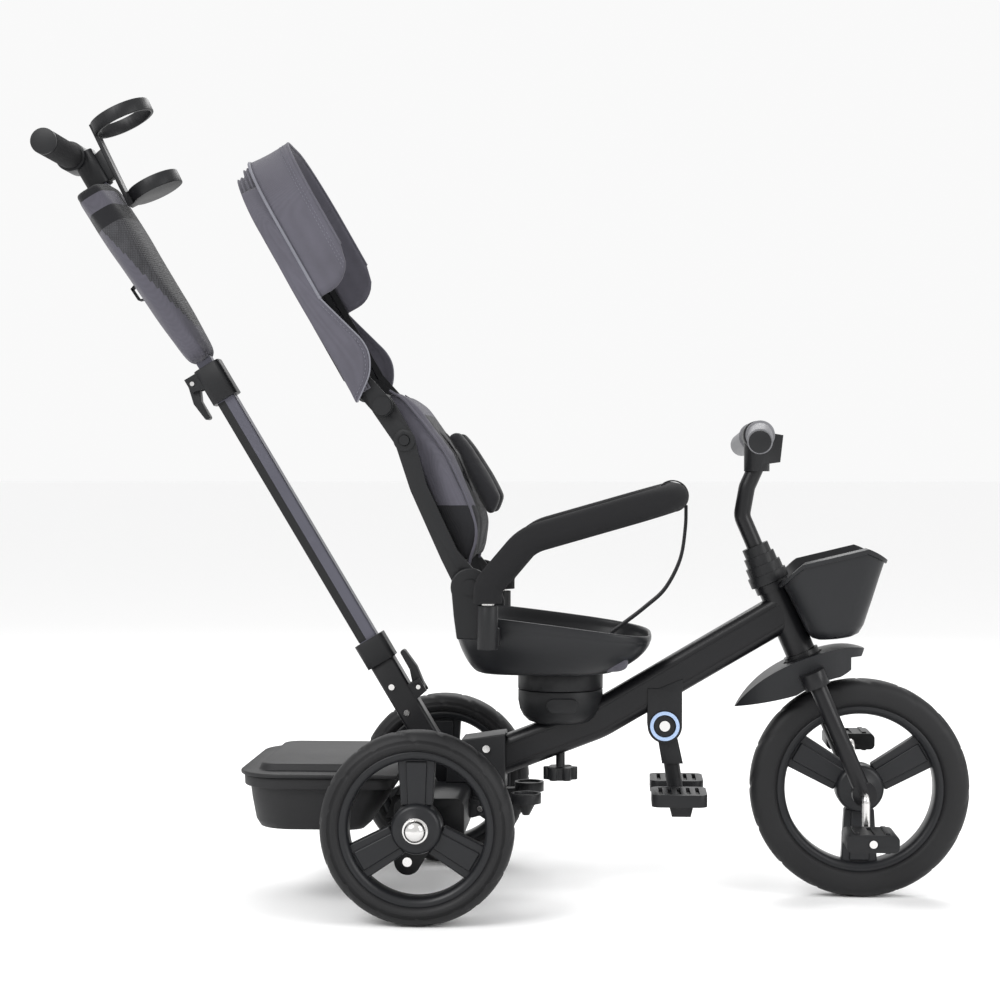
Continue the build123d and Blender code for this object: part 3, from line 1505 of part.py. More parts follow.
HOOD_WALL = 3.5
HOOD_FOOT = 25.0
hood_rear = band(
    -2 * FOLD_THICK, FOLD_THICK - 0.6, CANOPY_HALF_WIDTH, CANOPY_TOP - 10, HOOD_WALL, HOOD_FOOT
)
save("canopy_hood_rear", hood_rear)
hood_front = band(
    -FOLD_THICK, FOLD_THICK - 0.6, CANOPY_HALF_WIDTH, CANOPY_TOP - 3, HOOD_WALL, HOOD_FOOT
)
save("canopy_hood_front", hood_front)

VISOR_DEPTH = 57.0
VISOR_RISE = -2.0
with BuildPart() as canopy_visor:
    with BuildSketch(canopy_plane(0)):
        add(arch(CANOPY_HALF_WIDTH, CANOPY_TOP, CANOPY_CORNER, CANOPY_SKIRT))
    with BuildSketch(canopy_plane(VISOR_DEPTH)):
        add(arch(CANOPY_HALF_WIDTH + 4, CANOPY_TOP + VISOR_RISE, CANOPY_CORNER, CANOPY_SKIRT + 8))
    loft()
with BuildPart() as visor_room:
    with BuildSketch(canopy_plane(-1)):
        add(arch(
            CANOPY_HALF_WIDTH - HOOD_WALL,
            CANOPY_TOP - HOOD_WALL,
            CANOPY_CORNER - HOOD_WALL,
            CANOPY_SKIRT - 30,
        ))
    with BuildSketch(canopy_plane(VISOR_DEPTH + 1)):
        add(arch(
            CANOPY_HALF_WIDTH + 4 - HOOD_WALL,
            CANOPY_TOP + VISOR_RISE - HOOD_WALL,
            CANOPY_CORNER - HOOD_WALL,
            CANOPY_SKIRT - 30,
        ))
    loft()
with BuildPart() as visor_shell:
    add(canopy_visor.part)
    add(visor_room.part, mode=Mode.SUBTRACT)
save("canopy_visor", visor_shell.part.solids().sort_by(SortBy.VOLUME)[-1])

# ---------------------------------------------------------------- footrest
DISC_RADIUS = 23.0
EAR_IN = 17.0
EAR_OUT = 22.0
FOOTREST_PIN_RADIUS = 5.0
RING_OUTER = 19.5
RING_INNER = 15.0
RING_TRAVEL = 2.0
with BuildPart() as footrest_bracket:
    for side in (-1, 1):
        with BuildSketch(side_plane(side * (EAR_IN + EAR_OUT) / 2)):
            with Locations((FOOTREST_X, FOOTREST_Z)):
                Circle(DISC_RADIUS)
            with Locations((FOOTREST_X, 262)):
                Rectangle(46, 30)
            make_hull()
        extrude(amount=(EAR_OUT - EAR_IN) / 2, both=True)
    add(side_slab([(187, 252), (229, 252), (232, 290), (187, 272)], -EAR_OUT, EAR_OUT))
    add(beam_outer, mode=Mode.SUBTRACT)
    ring_room = along_y(
        FOOTREST_X, FOOTREST_Z, RING_OUTER + SLIDE_GAP, -EAR_OUT - 1, -EAR_OUT + 3.5
    )
    add(ring_room, mode=Mode.SUBTRACT)
    ring_core = along_y(
        FOOTREST_X, FOOTREST_Z, RING_INNER - SLIDE_GAP, -EAR_OUT, -EAR_OUT + 4
    )
    add(ring_core)
    pin_room = along_y(FOOTREST_X, FOOTREST_Z, FOOTREST_PIN_RADIUS, -30, 30)
    add(pin_room, mode=Mode.SUBTRACT)
bracket_body = footrest_bracket.part.solids().sort_by(SortBy.VOLUME)[-1]
frame_brackets = [brake_plate(1), brake_plate(-1), bin_bracket.part, bracket_body]
group("frame_brackets", *frame_brackets, *brake_lugs)
footrest_ring = along_y(
    FOOTREST_X, FOOTREST_Z, RING_OUTER, -EAR_OUT - 2.6, -EAR_OUT + 1, RING_INNER
)
save("footrest_ring", footrest_ring)
with BuildPart() as footrest_pin:
    add(along_y(FOOTREST_X, FOOTREST_Z, FOOTREST_PIN_RADIUS, -EAR_OUT, EAR_OUT + 3))
    add(along_y(FOOTREST_X, FOOTREST_Z, 9, EAR_OUT, EAR_OUT + 3))
    add(along_y(FOOTREST_X, FOOTREST_Z, 7, -EAR_OUT - 2, -EAR_OUT))

TREAD_LOW = 131.0
TREAD_HIGH = 147.0
with BuildPart() as footrest_arm:
    arm_in = EAR_IN - SLIDE_GAP
    add(along_y(FOOTREST_X, FOOTREST_Z, 19, -arm_in, arm_in))
    knuckle = side_slab(
        [(196, 222), (222, 222), (232, 176), (204, 176)], -14, 14
    )
    add(knuckle)
    add(rod((216, 0, 182), (225, 0, TREAD_LOW - 10), 10.5))
    add(side_slab([(213, 122), (246, 122), (242, 106), (217, 106)], -22, 22))
    add(rod((229, -24, 126), (229, 24, 126), 8))
    arm_bore = along_y(
        FOOTREST_X, FOOTREST_Z, FOOTREST_PIN_RADIUS + RUNNING_GAP, -EAR_IN, EAR_IN
    )
    add(arm_bore, mode=Mode.SUBTRACT)


def footrest_tread(side):
    """Slotted foot pad on one side of the footrest."""
    with BuildPart() as tread:
        with BuildSketch(Plane.XY.offset(TREAD_LOW)):
            with Locations((225, side * 62)):
                RectangleRounded(72, 76, 12)
        extrude(amount=TREAD_HIGH - TREAD_LOW)
        with BuildSketch(Plane.XY.offset(TREAD_HIGH - 5)):
            for step in range(-2, 3):
                with Locations((225 + step * 12, side * 62)):
                    SlotOverall(56, 5, rotation=90)
        extrude(amount=6, mode=Mode.SUBTRACT)
        low, high = sorted((side * 20, side * 40))
        add(along_y(229, 126, 8, low, high))
        add(footrest_arm.part, mode=Mode.SUBTRACT)
    return tread.part.solids().sort_by(SortBy.VOLUME)[-1]


group("footrest", footrest_arm.part, footrest_tread(1), footrest_tread(-1))


# ---------------------------------------------------------------- pins and screws
def screw_head(x, z, y, radius):
    """Pan-head screw or rivet standing on a side face."""
    low, high = sorted((y, y + (2.5 if y > 0 else -2.5)))
    return along_y(x, z, radius, low, high)


lever_pins = [
    along_y(*handle_point(*place)[::2], LEVER_PIN_RADIUS, -18, 18)
    for place in (LOWER_LEVER_AT, UPPER_LEVER_AT)
]
screws = []
for side in (-1, 1):
    screws.append(screw_head(-122, 70, side * (HOUSING_HALF_WIDTH + 6), 6))
    screws.append(screw_head(-30, 196, side * (BEAM_WIDTH / 2 + 10), 5))
    screws.append(screw_head(-30, 150, side * (BEAM_WIDTH / 2 + 10), 5))
    for distance in (110, 150):
        x, z = handle_point(distance, -5)[::2]
        screws.append(screw_head(x, z, side * RECEIVER_SIZE / 2, 4))
group("frame_fasteners", swivel_pin, footrest_pin.part, *brake_pins, *lever_pins, *screws)
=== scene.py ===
"""Looks of the children's push tricycle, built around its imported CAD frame. Metres."""
import json
import math

import bmesh
import bpy
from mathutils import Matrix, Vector


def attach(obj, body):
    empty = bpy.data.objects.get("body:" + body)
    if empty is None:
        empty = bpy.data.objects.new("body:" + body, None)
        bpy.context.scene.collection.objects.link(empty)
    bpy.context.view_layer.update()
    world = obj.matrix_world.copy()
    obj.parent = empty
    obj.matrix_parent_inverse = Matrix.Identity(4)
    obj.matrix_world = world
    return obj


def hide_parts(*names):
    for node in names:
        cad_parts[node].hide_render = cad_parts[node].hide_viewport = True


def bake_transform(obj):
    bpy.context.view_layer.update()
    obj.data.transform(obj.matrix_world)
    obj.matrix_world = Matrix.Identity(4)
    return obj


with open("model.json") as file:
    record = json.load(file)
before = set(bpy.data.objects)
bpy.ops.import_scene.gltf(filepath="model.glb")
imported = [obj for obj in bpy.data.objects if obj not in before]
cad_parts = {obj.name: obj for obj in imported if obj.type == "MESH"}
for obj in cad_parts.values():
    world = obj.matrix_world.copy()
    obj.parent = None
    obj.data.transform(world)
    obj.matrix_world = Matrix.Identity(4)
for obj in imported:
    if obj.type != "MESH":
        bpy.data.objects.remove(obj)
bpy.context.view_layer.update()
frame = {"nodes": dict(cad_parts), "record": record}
MM = 0.001
Y_AXIS = Vector((0, 1, 0))


# ---------------------------------------------------------------- places on the frame
class Lean:
    """A leaning frame of reference: up along its axis, out in front of it, y across."""

    def __init__(self, x, z, angle):
        self.origin = Vector((x, 0, z)) * MM
        turn = math.radians(angle)
        self.up = Vector((-math.sin(turn), 0, math.cos(turn)))
        self.out = Vector((math.cos(turn), 0, math.sin(turn)))

    def at(self, up, out=0.0, y=0.0):
        return self.origin + (self.up * up + self.out * out + Y_AXIS * y) * MM


HANDLE = Lean(-77, 150, 30.8)
CANOPY = Lean(-158, 650, 29.6)


# ---------------------------------------------------------------- shader groups
def node_group(name, inputs, outputs):
    tree = bpy.data.node_groups.new(name, "ShaderNodeTree")
    for label, value in inputs:
        socket = tree.interface.new_socket(label, in_out="INPUT", socket_type="NodeSocketFloat")
        socket.default_value = value
    for label in outputs:
        tree.interface.new_socket(label, in_out="OUTPUT", socket_type="NodeSocketFloat")
    return tree, tree.nodes.new("NodeGroupInput"), tree.nodes.new("NodeGroupOutput")


def math_node(tree, operation, first, second=None):
    node = tree.nodes.new("ShaderNodeMath")
    node.operation = operation
    for socket, value in zip(node.inputs, (first, second)):
        if value is None:
            continue
        if isinstance(value, (int, float)):
            socket.default_value = value
        else:
            tree.links.new(value, socket)
    return node.outputs[0]


def noise_node(tree, place, scale, detail):
    node = tree.nodes.new("ShaderNodeTexNoise")
    node.inputs["Detail"].default_value = detail
    tree.links.new(place, node.inputs["Vector"])
    if isinstance(scale, (int, float)):
        node.inputs["Scale"].default_value = scale
    else:
        tree.links.new(scale, node.inputs["Scale"])
    return node.outputs["Fac"]


def build_grain():
    """Moulded grain with broad shade changes and fine scuffs."""
    tree, given, result = node_group(
        "moulded_grain", [("Scale", 900.0), ("Scuff", 0.3)], ["Height", "Shade"]
    )
    place = tree.nodes.new("ShaderNodeTexCoord").outputs["Object"]
    fine = noise_node(tree, place, given.outputs["Scale"], 3.0)
    broad = noise_node(tree, place, 9.0, 4.0)
    scratch = noise_node(tree, place, 60.0, 8.0)
    scuffed = math_node(tree, "GREATER_THAN", scratch, 0.66)
    scuffed = math_node(tree, "MULTIPLY", scuffed, given.outputs["Scuff"])
    shade = math_node(tree, "ADD", broad, scuffed)
    tree.links.new(fine, result.inputs["Height"])
    tree.links.new(shade, result.inputs["Shade"])
    return tree


def build_weave():
    """Woven threads crossing on every face, with slight fading and slubs."""
    tree, given, result = node_group(
        "cloth_weave", [("Scale", 5200.0), ("Scuff", 0.4)], ["Height", "Shade"]
    )
    place = tree.nodes.new("ShaderNodeTexCoord").outputs["Object"]
    split = tree.nodes.new("ShaderNodeSeparateXYZ")
    tree.links.new(place, split.inputs[0])
    total = None
    for axis in range(3):
        turned = math_node(tree, "MULTIPLY", split.outputs[axis], given.outputs["Scale"])
        wave = math_node(tree, "SINE", turned)
        total = wave if total is None else math_node(tree, "ADD", total, wave)
    height = math_node(tree, "MULTIPLY", total, 0.33)
    slub = noise_node(tree, place, 160.0, 4.0)
    broad = noise_node(tree, place, 14.0, 3.0)
    thread = math_node(tree, "MULTIPLY", height, 0.35)
    mixed = math_node(tree, "MULTIPLY", slub, given.outputs["Scuff"])
    shade = math_node(tree, "ADD", math_node(tree, "ADD", thread, mixed), broad)
    shade = math_node(tree, "SUBTRACT", shade, 0.2)
    tree.links.new(height, result.inputs["Height"])
    tree.links.new(shade, result.inputs["Shade"])
    return tree


GRAIN = build_grain()
WEAVE = build_weave()


# ---------------------------------------------------------------- materials
def finish(name, color, rough, tree=GRAIN, scale=900.0, depth=0.00012, tint=0.12, scuff=0.3,
           metallic=0.0, sheen=0.0, specular=0.3):
    """A material whose colour, gloss and relief come from one of the shader groups."""
    material = bpy.data.materials.new(name)
    material.use_nodes = True
    nodes, links = material.node_tree.nodes, material.node_tree.links
    shader = nodes["Principled BSDF"]
    group = nodes.new("ShaderNodeGroup")
    group.node_tree = tree
    group.inputs["Scale"].default_value = scale
    group.inputs["Scuff"].default_value = scuff
    mix = nodes.new("ShaderNodeMix")
    mix.data_type = "RGBA"
    mix.inputs["A"].default_value = [c * (1 - tint) for c in color] + [1]
    mix.inputs["B"].default_value = [min(1, c * (1 + tint)) for c in color] + [1]
    links.new(group.outputs["Shade"], mix.inputs["Factor"])
    links.new(mix.outputs["Result"], shader.inputs["Base Color"])
    gloss = nodes.new("ShaderNodeMapRange")
    gloss.inputs["To Min"].default_value = max(0.03, rough - 0.07)
    gloss.inputs["To Max"].default_value = min(1.0, rough + 0.07)
    links.new(group.outputs["Shade"], gloss.inputs["Value"])
    links.new(gloss.outputs["Result"], shader.inputs["Roughness"])
    bump = nodes.new("ShaderNodeBump")
    bump.inputs["Distance"].default_value = depth
    bump.inputs["Strength"].default_value = 0.7
    links.new(group.outputs["Height"], bump.inputs["Height"])
    links.new(bump.outputs["Normal"], shader.inputs["Normal"])
    shader.inputs["Metallic"].default_value = metallic
    shader.inputs["Sheen Weight"].default_value = sheen
    shader.inputs["Specular IOR Level"].default_value = specular
    return material


FRAME_PAINT = finish("frame_paint", (0.0055, 0.0055, 0.0065), 0.34, scale=350, depth=0.00006)
BLACK_PLASTIC = finish("black_plastic", (0.0075, 0.0078, 0.0088), 0.45)
SEAT_PLASTIC = finish("seat_plastic", (0.01, 0.0105, 0.012), 0.4, scale=700)
BIN_PLASTIC = finish("bin_plastic", (0.012, 0.012, 0.013), 0.55, scale=1400, depth=0.0003)
RIM_PLASTIC = finish("rim_plastic", (0.009, 0.0095, 0.011), 0.38, scale=600, depth=0.00008)
TYRE_RUBBER = finish("tyre_rubber", (0.008, 0.008, 0.0088), 0.55, scale=500, tint=0.2)
STEEL = finish("bright_steel", (0.66, 0.65, 0.64), 0.2, scale=300, depth=0.00003, metallic=1.0)
ALUMINIUM = finish("push_tube", (0.1, 0.099, 0.122), 0.38, scale=240, depth=0.00003, metallic=0.6)
GRIP = finish("pale_grip", (0.16, 0.16, 0.17), 0.5, scale=1200, depth=0.0002)
FOAM = finish("foam", (0.008, 0.008, 0.009), 0.9, scale=1900, depth=0.0006, tint=0.3, scuff=0.5)
RING_BLUE = finish("ring_blue", (0.38, 0.5, 0.72), 0.35)
GREY_FABRIC = finish(
    "lavender_fabric", (0.078, 0.075, 0.093), 0.85, WEAVE, 5200, 0.0003, 0.22, sheen=0.15
)
BLACK_FABRIC = finish(
    "black_fabric", (0.0085, 0.0085, 0.0105), 0.88, WEAVE, 4800, 0.0003, 0.3, sheen=0.15
)
NET_FABRIC = finish("net_fabric", (0.04, 0.04, 0.044), 0.85, WEAVE, 2100, 0.0009, 0.55, sheen=0.2)
WEBBING = finish("webbing", (0.009, 0.009, 0.011), 0.75, WEAVE, 2600, 0.0006, 0.35)
PIPING = finish("piping", (0.16, 0.16, 0.185), 0.6, WEAVE, 4200, 0.0003, 0.2)
THREAD = finish("thread", (0.13, 0.13, 0.155), 0.6, WEAVE, 9000, 0.0001, 0.2)

SLOT_LOOK = {
    "frame_paint": FRAME_PAINT, "black_plastic": BLACK_PLASTIC, "seat_plastic": SEAT_PLASTIC,
    "bin_plastic": BIN_PLASTIC, "rim_plastic": RIM_PLASTIC, "tyre": TYRE_RUBBER,
    "bright_steel": STEEL, "push_tube_aluminium": ALUMINIUM, "grip_rubber": GRIP,
    "foam": FOAM, "ring_blue": RING_BLUE, "grey_fabric": GREY_FABRIC,
    "black_fabric": BLACK_FABRIC,
}
NODE_SLOT = {s["node"]: s["material_slot"] for s in frame["record"]["subparts"]}
NODE_BODY = {
    node: body
    for body, nodes in frame["record"]["behaviour"]["bodies"].items()
    for node in nodes
}


# ---------------------------------------------------------------- mesh helpers
def link(name, mesh, material):
    """Puts a mesh in the scene as a piece."""
    obj = bpy.data.objects.new(name, mesh)
    bpy.context.scene.collection.objects.link(obj)
    if material and not mesh.materials:
        mesh.materials.append(material)
    return obj


def mesh_piece(name, points, faces, material):
    """Smooth-shaded piece from points in metres, its faces turned outward."""
    mesh = bpy.data.meshes.new(name)
    mesh.from_pydata([tuple(p) for p in points], [], faces)
    work = bmesh.new()
    work.from_mesh(mesh)
    bmesh.ops.remove_doubles(work, verts=work.verts, dist=1e-6)
    bmesh.ops.recalc_face_normals(work, faces=work.faces)
    for face in work.faces:
        face.smooth = True
    work.to_mesh(mesh)
    work.free()
    return link(name, mesh, material)


def bake(obj):
    """Turns a piece's modifiers into plain mesh."""
    bpy.context.view_layer.update()
    graph = bpy.context.evaluated_depsgraph_get()
    mesh = bpy.data.meshes.new_from_object(obj.evaluated_get(graph))
    obj.modifiers.clear()
    obj.data = mesh
    return obj


def soften(obj, width=0.0012, angle=35, segments=2):
    """Rounds a piece's hard edges."""
    bevel = obj.modifiers.new("rounded_edges", "BEVEL")
    bevel.width = width
    bevel.segments = segments
    bevel.limit_method = "ANGLE"
    bevel.angle_limit = math.radians(angle)
    bevel.harden_normals = True
    return bake(obj)


def subdivide(obj, levels=1):
    """Rounds a piece off by splitting its faces."""
    smooth = obj.modifiers.new("finer", "SUBSURF")
    smooth.levels = smooth.render_levels = levels
    return bake(obj)


def thicken(obj, wall):
    """Gives a sheet its thickness in metres, half to each side."""
    shell = obj.modifiers.new("wall", "SOLIDIFY")
    shell.thickness = wall
    shell.offset = 0.0
    return bake(obj)


def grid_faces(rows, columns, wrap_rows=False, wrap_columns=False):
    """Four-sided faces between points that are listed row by row."""
    faces = []
    for i in range(rows if wrap_rows else rows - 1):
        for j in range(columns if wrap_columns else columns - 1):
            a, b = i, (i + 1) % rows
            c, d = j, (j + 1) % columns
            faces.append((a * columns + c, a * columns + d, b * columns + d, b * columns + c))
    return faces


def turned(name, profile, centre, material, steps=96, shape=None):
    """Ring turned about a line across the width; profile is (radius, y) in millimetres."""
    points = []
    for step in range(steps):
        turn = 2 * math.pi * step / steps
        for radius, y in profile:
            if shape:
                radius = shape(turn, radius, y)
            points.append((
                centre[0] + radius * MM * math.cos(turn),
                centre[1] + y * MM,
                centre[2] + radius * MM * math.sin(turn),
            ))
    faces = grid_faces(steps, len(profile), wrap_rows=True, wrap_columns=True)
    return mesh_piece(name, points, faces, material)


def side_plate(name, outline, y_low, y_high, material, round_edge=1.5):
    """Flat outline of (x, z) in millimetres, given its width across and rounded edges."""
    count = len(outline)
    points = [(x * MM, y * MM, z * MM) for y in (y_low, y_high) for x, z in outline]
    faces = [tuple(range(count)), tuple(reversed(range(count, 2 * count)))]
    faces += [(i, (i + 1) % count, (i + 1) % count + count, i + count) for i in range(count)]
    piece = mesh_piece(name, points, faces, material)
    return soften(piece, round_edge * MM, 30, 3)


def tube(name, route, radius, material):
    """Round cord or tube along points in metres."""
    curve = bpy.data.curves.new(name, "CURVE")
    curve.dimensions = "3D"
    curve.bevel_depth = radius
    curve.bevel_resolution = 4
    curve.use_fill_caps = True
    spline = curve.splines.new("POLY")
    spline.points.add(len(route) - 1)
    for point, place in zip(spline.points, route):
        point.co = (*place, 1)
    holder = bpy.data.objects.new(name + "_line", curve)
    bpy.context.scene.collection.objects.link(holder)
    bpy.context.view_layer.update()
    graph = bpy.context.evaluated_depsgraph_get()
    mesh = bpy.data.meshes.new_from_object(holder.evaluated_get(graph))
    bpy.data.objects.remove(holder)
    mesh.materials.clear()
    for face in mesh.polygons:
        face.use_smooth = True
    return link(name, mesh, material)


def strap(name, route, width, thick, material):
    """Flat webbing along points in metres, its width lying along y."""
    route = [Vector(p) for p in route]
    points = []
    for i, place in enumerate(route):
        ahead = (route[min(i + 1, len(route) - 1)] - route[max(i - 1, 0)]).normalized()
        out = ahead.cross(Y_AXIS).normalized()
        for across, over in ((-1, -1), (1, -1), (1, 1), (-1, 1)):
            points.append(place + Y_AXIS * across * width / 2 + out * over * thick / 2)
    faces = grid_faces(len(route), 4, wrap_columns=True)
    last = 4 * (len(route) - 1)
    faces += [(0, 1, 2, 3), (last + 3, last + 2, last + 1, last)]
    return soften(mesh_piece(name, points, faces, material), thick * 0.3, 40, 2)


def smooth_route(points, steps=8):
    """Points along a Catmull-Rom curve through the given ones."""
    points = [Vector(p) for p in points]
    ends = [points[0] * 2 - points[1]] + points + [points[-1] * 2 - points[-2]]
    route = []
    for a, b, c, d in zip(ends, ends[1:], ends[2:], ends[3:]):
        for step in range(steps):
            t = step / steps
            route.append(0.5 * (
                2 * b + (c - a) * t + (2 * a - 5 * b + 4 * c - d) * t * t
                + (3 * b - a - 3 * c + d) * t ** 3
            ))
    return route + [points[-1]]


def place_piece(obj, body, slot, *nodes):
    """Names the body a finished piece rides on and hides the CAD nodes it stands for; slot is not
    used.
    """
    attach(obj, body)
    if nodes:
        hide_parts(*nodes)
    return obj


# ---------------------------------------------------------------- repeats
def build_repeater():
    """Sets a small shape along a line at even spacing, turned to follow it."""
    tree = bpy.data.node_groups.new("repeat_along_line", "GeometryNodeTree")
    face = tree.interface
    face.new_socket("Geometry", in_out="INPUT", socket_type="NodeSocketGeometry")
    spacing = face.new_socket("Spacing", in_out="INPUT", socket_type="NodeSocketFloat")
    shape = face.new_socket("Shape", in_out="INPUT", socket_type="NodeSocketObject")
    look = face.new_socket("Material", in_out="INPUT", socket_type="NodeSocketMaterial")
    face.new_socket("Geometry", in_out="OUTPUT", socket_type="NodeSocketGeometry")
    nodes, links = tree.nodes, tree.links
    given = nodes.new("NodeGroupInput")
    result = nodes.new("NodeGroupOutput")
    to_line = nodes.new("GeometryNodeMeshToCurve")
    to_points = nodes.new("GeometryNodeCurveToPoints")
    to_points.mode = "LENGTH"
    shape_info = nodes.new("GeometryNodeObjectInfo")
    copies = nodes.new("GeometryNodeInstanceOnPoints")
    real = nodes.new("GeometryNodeRealizeInstances")
    painted = nodes.new("GeometryNodeSetMaterial")
    links.new(given.outputs["Geometry"], to_line.inputs["Mesh"])
    links.new(to_line.outputs["Curve"], to_points.inputs["Curve"])
    links.new(given.outputs["Spacing"], to_points.inputs["Length"])
    links.new(given.outputs["Shape"], shape_info.inputs["Object"])
    links.new(to_points.outputs["Points"], copies.inputs["Points"])
    links.new(to_points.outputs["Rotation"], copies.inputs["Rotation"])
    links.new(shape_info.outputs["Geometry"], copies.inputs["Instance"])
    links.new(copies.outputs["Instances"], real.inputs["Geometry"])
    links.new(real.outputs["Geometry"], painted.inputs["Geometry"])
    links.new(given.outputs["Material"], painted.inputs["Material"])
    links.new(painted.outputs["Geometry"], result.inputs["Geometry"])
    return tree, spacing.identifier, shape.identifier, look.identifier


REPEATER, SPACING_ID, SHAPE_ID, LOOK_ID = build_repeater()


def bead(name, length, width):
    """Small six-sided bead along Z, the shape that is repeated."""
    mesh = bpy.data.meshes.new(name)
    work = bmesh.new()
    bmesh.ops.create_uvsphere(work, u_segments=6, v_segments=4, radius=0.5)
    for vertex in work.verts:
        vertex.co = Vector((vertex.co.x * width, vertex.co.y * width, vertex.co.z * length))
    work.to_mesh(mesh)
    work.free()
    return bpy.data.objects.new(name, mesh)


STITCH = bead("stitch_shape", 0.0034, 0.0012)


def repeat(name, routes, spacing, shape, material):
    """The shape at even spacing along each route, as one plain mesh."""
    points, edges = [], []
    for route in routes:
        start = len(points)
        points += [tuple(p) for p in route]
        edges += [(start + i, start + i + 1) for i in range(len(route) - 1)]
    mesh = bpy.data.meshes.new(name)
    mesh.from_pydata(points, edges, [])
    obj = link(name, mesh, material)
    repeater = obj.modifiers.new("repeat", "NODES")
    repeater.node_group = REPEATER
    repeater[SPACING_ID] = spacing
    repeater[SHAPE_ID] = shape
    repeater[LOOK_ID] = material
    return bake(obj)


STITCH_SPACING = 0.0052


def stitches(name, routes, body, slot="black_fabric"):
    """Rows of thread along routes in metres."""
    return place_piece(repeat(name, routes, STITCH_SPACING, STITCH, THREAD), body, slot)


# ---------------------------------------------------------------- padding
CLOTH_PRESSURE = 4.0
CLOTH_FRAMES = 20


def inflate(obj, cap, voxel):
    """Swells a closed shape like stuffed cloth, by no more than cap; sizes in millimetres."""
    remesh = obj.modifiers.new("even_mesh", "REMESH")
    remesh.mode = "VOXEL"
    remesh.voxel_size = voxel * MM
    bake(obj)
    start = [v.co.copy() for v in obj.data.vertices]
    cloth = obj.modifiers.new("stuffing", "CLOTH")
    cloth.settings.use_pressure = True
    cloth.settings.uniform_pressure_force = CLOTH_PRESSURE
    cloth.settings.effector_weights.gravity = 0
    cloth.settings.quality = 4
    cloth.settings.mass = 0.2
    cloth.point_cache.frame_start = 1
    cloth.point_cache.frame_end = CLOTH_FRAMES
    for step in range(1, CLOTH_FRAMES + 1):
        bpy.context.scene.frame_set(step)
    bake(obj)
    bpy.context.scene.frame_set(1)
    for vertex, home in zip(obj.data.vertices, start):
        shift = vertex.co - home
        if shift.length > cap * MM:
            vertex.co = home + shift.normalized() * cap * MM
    for face in obj.data.polygons:
        face.use_smooth = True
    return obj


def relax(obj, rounds):
    """Evens out a swollen piece's surface."""
    work = bmesh.new()
    work.from_mesh(obj.data)
    for _ in range(rounds):
        bmesh.ops.smooth_vert(
            work, verts=work.verts, factor=0.5, use_axis_x=True, use_axis_y=True, use_axis_z=True
        )
    work.to_mesh(obj.data)
    work.free()
    return obj


def paint_faces(obj, choose, *materials):
    """Gives each face one of the materials; choose(centre, normal) returns its number."""
    obj.data.materials.clear()
    for material in materials:
        obj.data.materials.append(material)
    for face in obj.data.polygons:
        face.material_index = choose(face.center / MM, face.normal)
    return obj


# ---------------------------------------------------------------- camera, floor and light
# The photograph's viewing angle is an estimate; place in metres, aim as a direction.
CAMERA_PLACE = (0.141, -2.76, 0.569)
CAMERA_AIM = (-115, 2056, -31)

camera = bpy.data.objects.new("camera", bpy.data.cameras.new("camera"))
camera.data.lens = 74.0
camera.data.sensor_width = 36.0
camera.location = CAMERA_PLACE
camera.rotation_euler = Vector(CAMERA_AIM).to_track_quat("-Z", "Y").to_euler()
bpy.context.scene.collection.objects.link(camera)
bpy.context.scene.camera = camera
bpy.context.scene.view_settings.view_transform = "Standard"

floor_look = bpy.data.materials.new("floor_look")
floor_look.use_nodes = True
floor_shader = floor_look.node_tree.nodes["Principled BSDF"]
floor_shader.inputs["Base Color"].default_value = (0.97, 0.97, 0.97, 1)
floor_shader.inputs["Roughness"].default_value = 0.9
FLOOR_SIZE = 90.0
floor = mesh_piece(
    "floor",
    [(-FLOOR_SIZE, -FLOOR_SIZE, 0), (FLOOR_SIZE, -FLOOR_SIZE, 0),
     (FLOOR_SIZE, FLOOR_SIZE, 0), (-FLOOR_SIZE, FLOOR_SIZE, 0)],
    [(0, 1, 2, 3)],
    floor_look,
)
world = bpy.data.worlds.new("studio")
bpy.context.scene.world = world
world.use_nodes = True
world.node_tree.nodes["Background"].inputs["Color"].default_value = (1, 1, 1, 1)
world.node_tree.nodes["Background"].inputs["Strength"].default_value = 0.95


def softbox(name, place, aim, size, power):
    """Soft rectangular light that shines from its place at the aim."""
    light = bpy.data.lights.new(name, "AREA")
    light.shape = "RECTANGLE"
    light.size, light.size_y = size
    light.energy = power
    holder = bpy.data.objects.new(name, light)
    holder.location = place
    holder.rotation_euler = (Vector(aim) - Vector(place)).to_track_quat("-Z", "Y").to_euler()
    bpy.context.scene.collection.objects.link(holder)


softbox("key_light", (-1.8, -2.2, 2.6), (0, 0, 0.5), (1.6, 1.6), 70)
softbox("fill_light", (2.4, -1.6, 1.6), (0, 0, 0.5), (1.4, 1.8), 35)
softbox("back_light", (0.2, 2.4, 2.6), (0, 0, 0.6), (2.4, 1.2), 45)


# ---------------------------------------------------------------- rigid CAD parts
def rounded_node(node, width):
    """A copy of a CAD part with its edges rounded, standing for the part."""
    mesh = frame["nodes"][node].data.copy()
    mesh.materials.clear()
    work = bmesh.new()
    work.from_mesh(mesh)
    bmesh.ops.remove_doubles(work, verts=work.verts, dist=2e-6)
    bmesh.ops.dissolve_limit(
        work, angle_limit=math.radians(0.6), verts=work.verts, edges=work.edges
    )
    for face in work.faces:
        face.smooth = True
    work.to_mesh(mesh)
    work.free()
    slot = NODE_SLOT[node]
    piece = link(node + "_look", mesh, SLOT_LOOK[slot])
    soften(piece, width * MM, 32, 2)
    return place_piece(piece, NODE_BODY[node], slot, node)


for node, cad in frame["nodes"].items():
    cad.data.materials.clear()
    cad.data.materials.append(SLOT_LOOK[NODE_SLOT[node]])

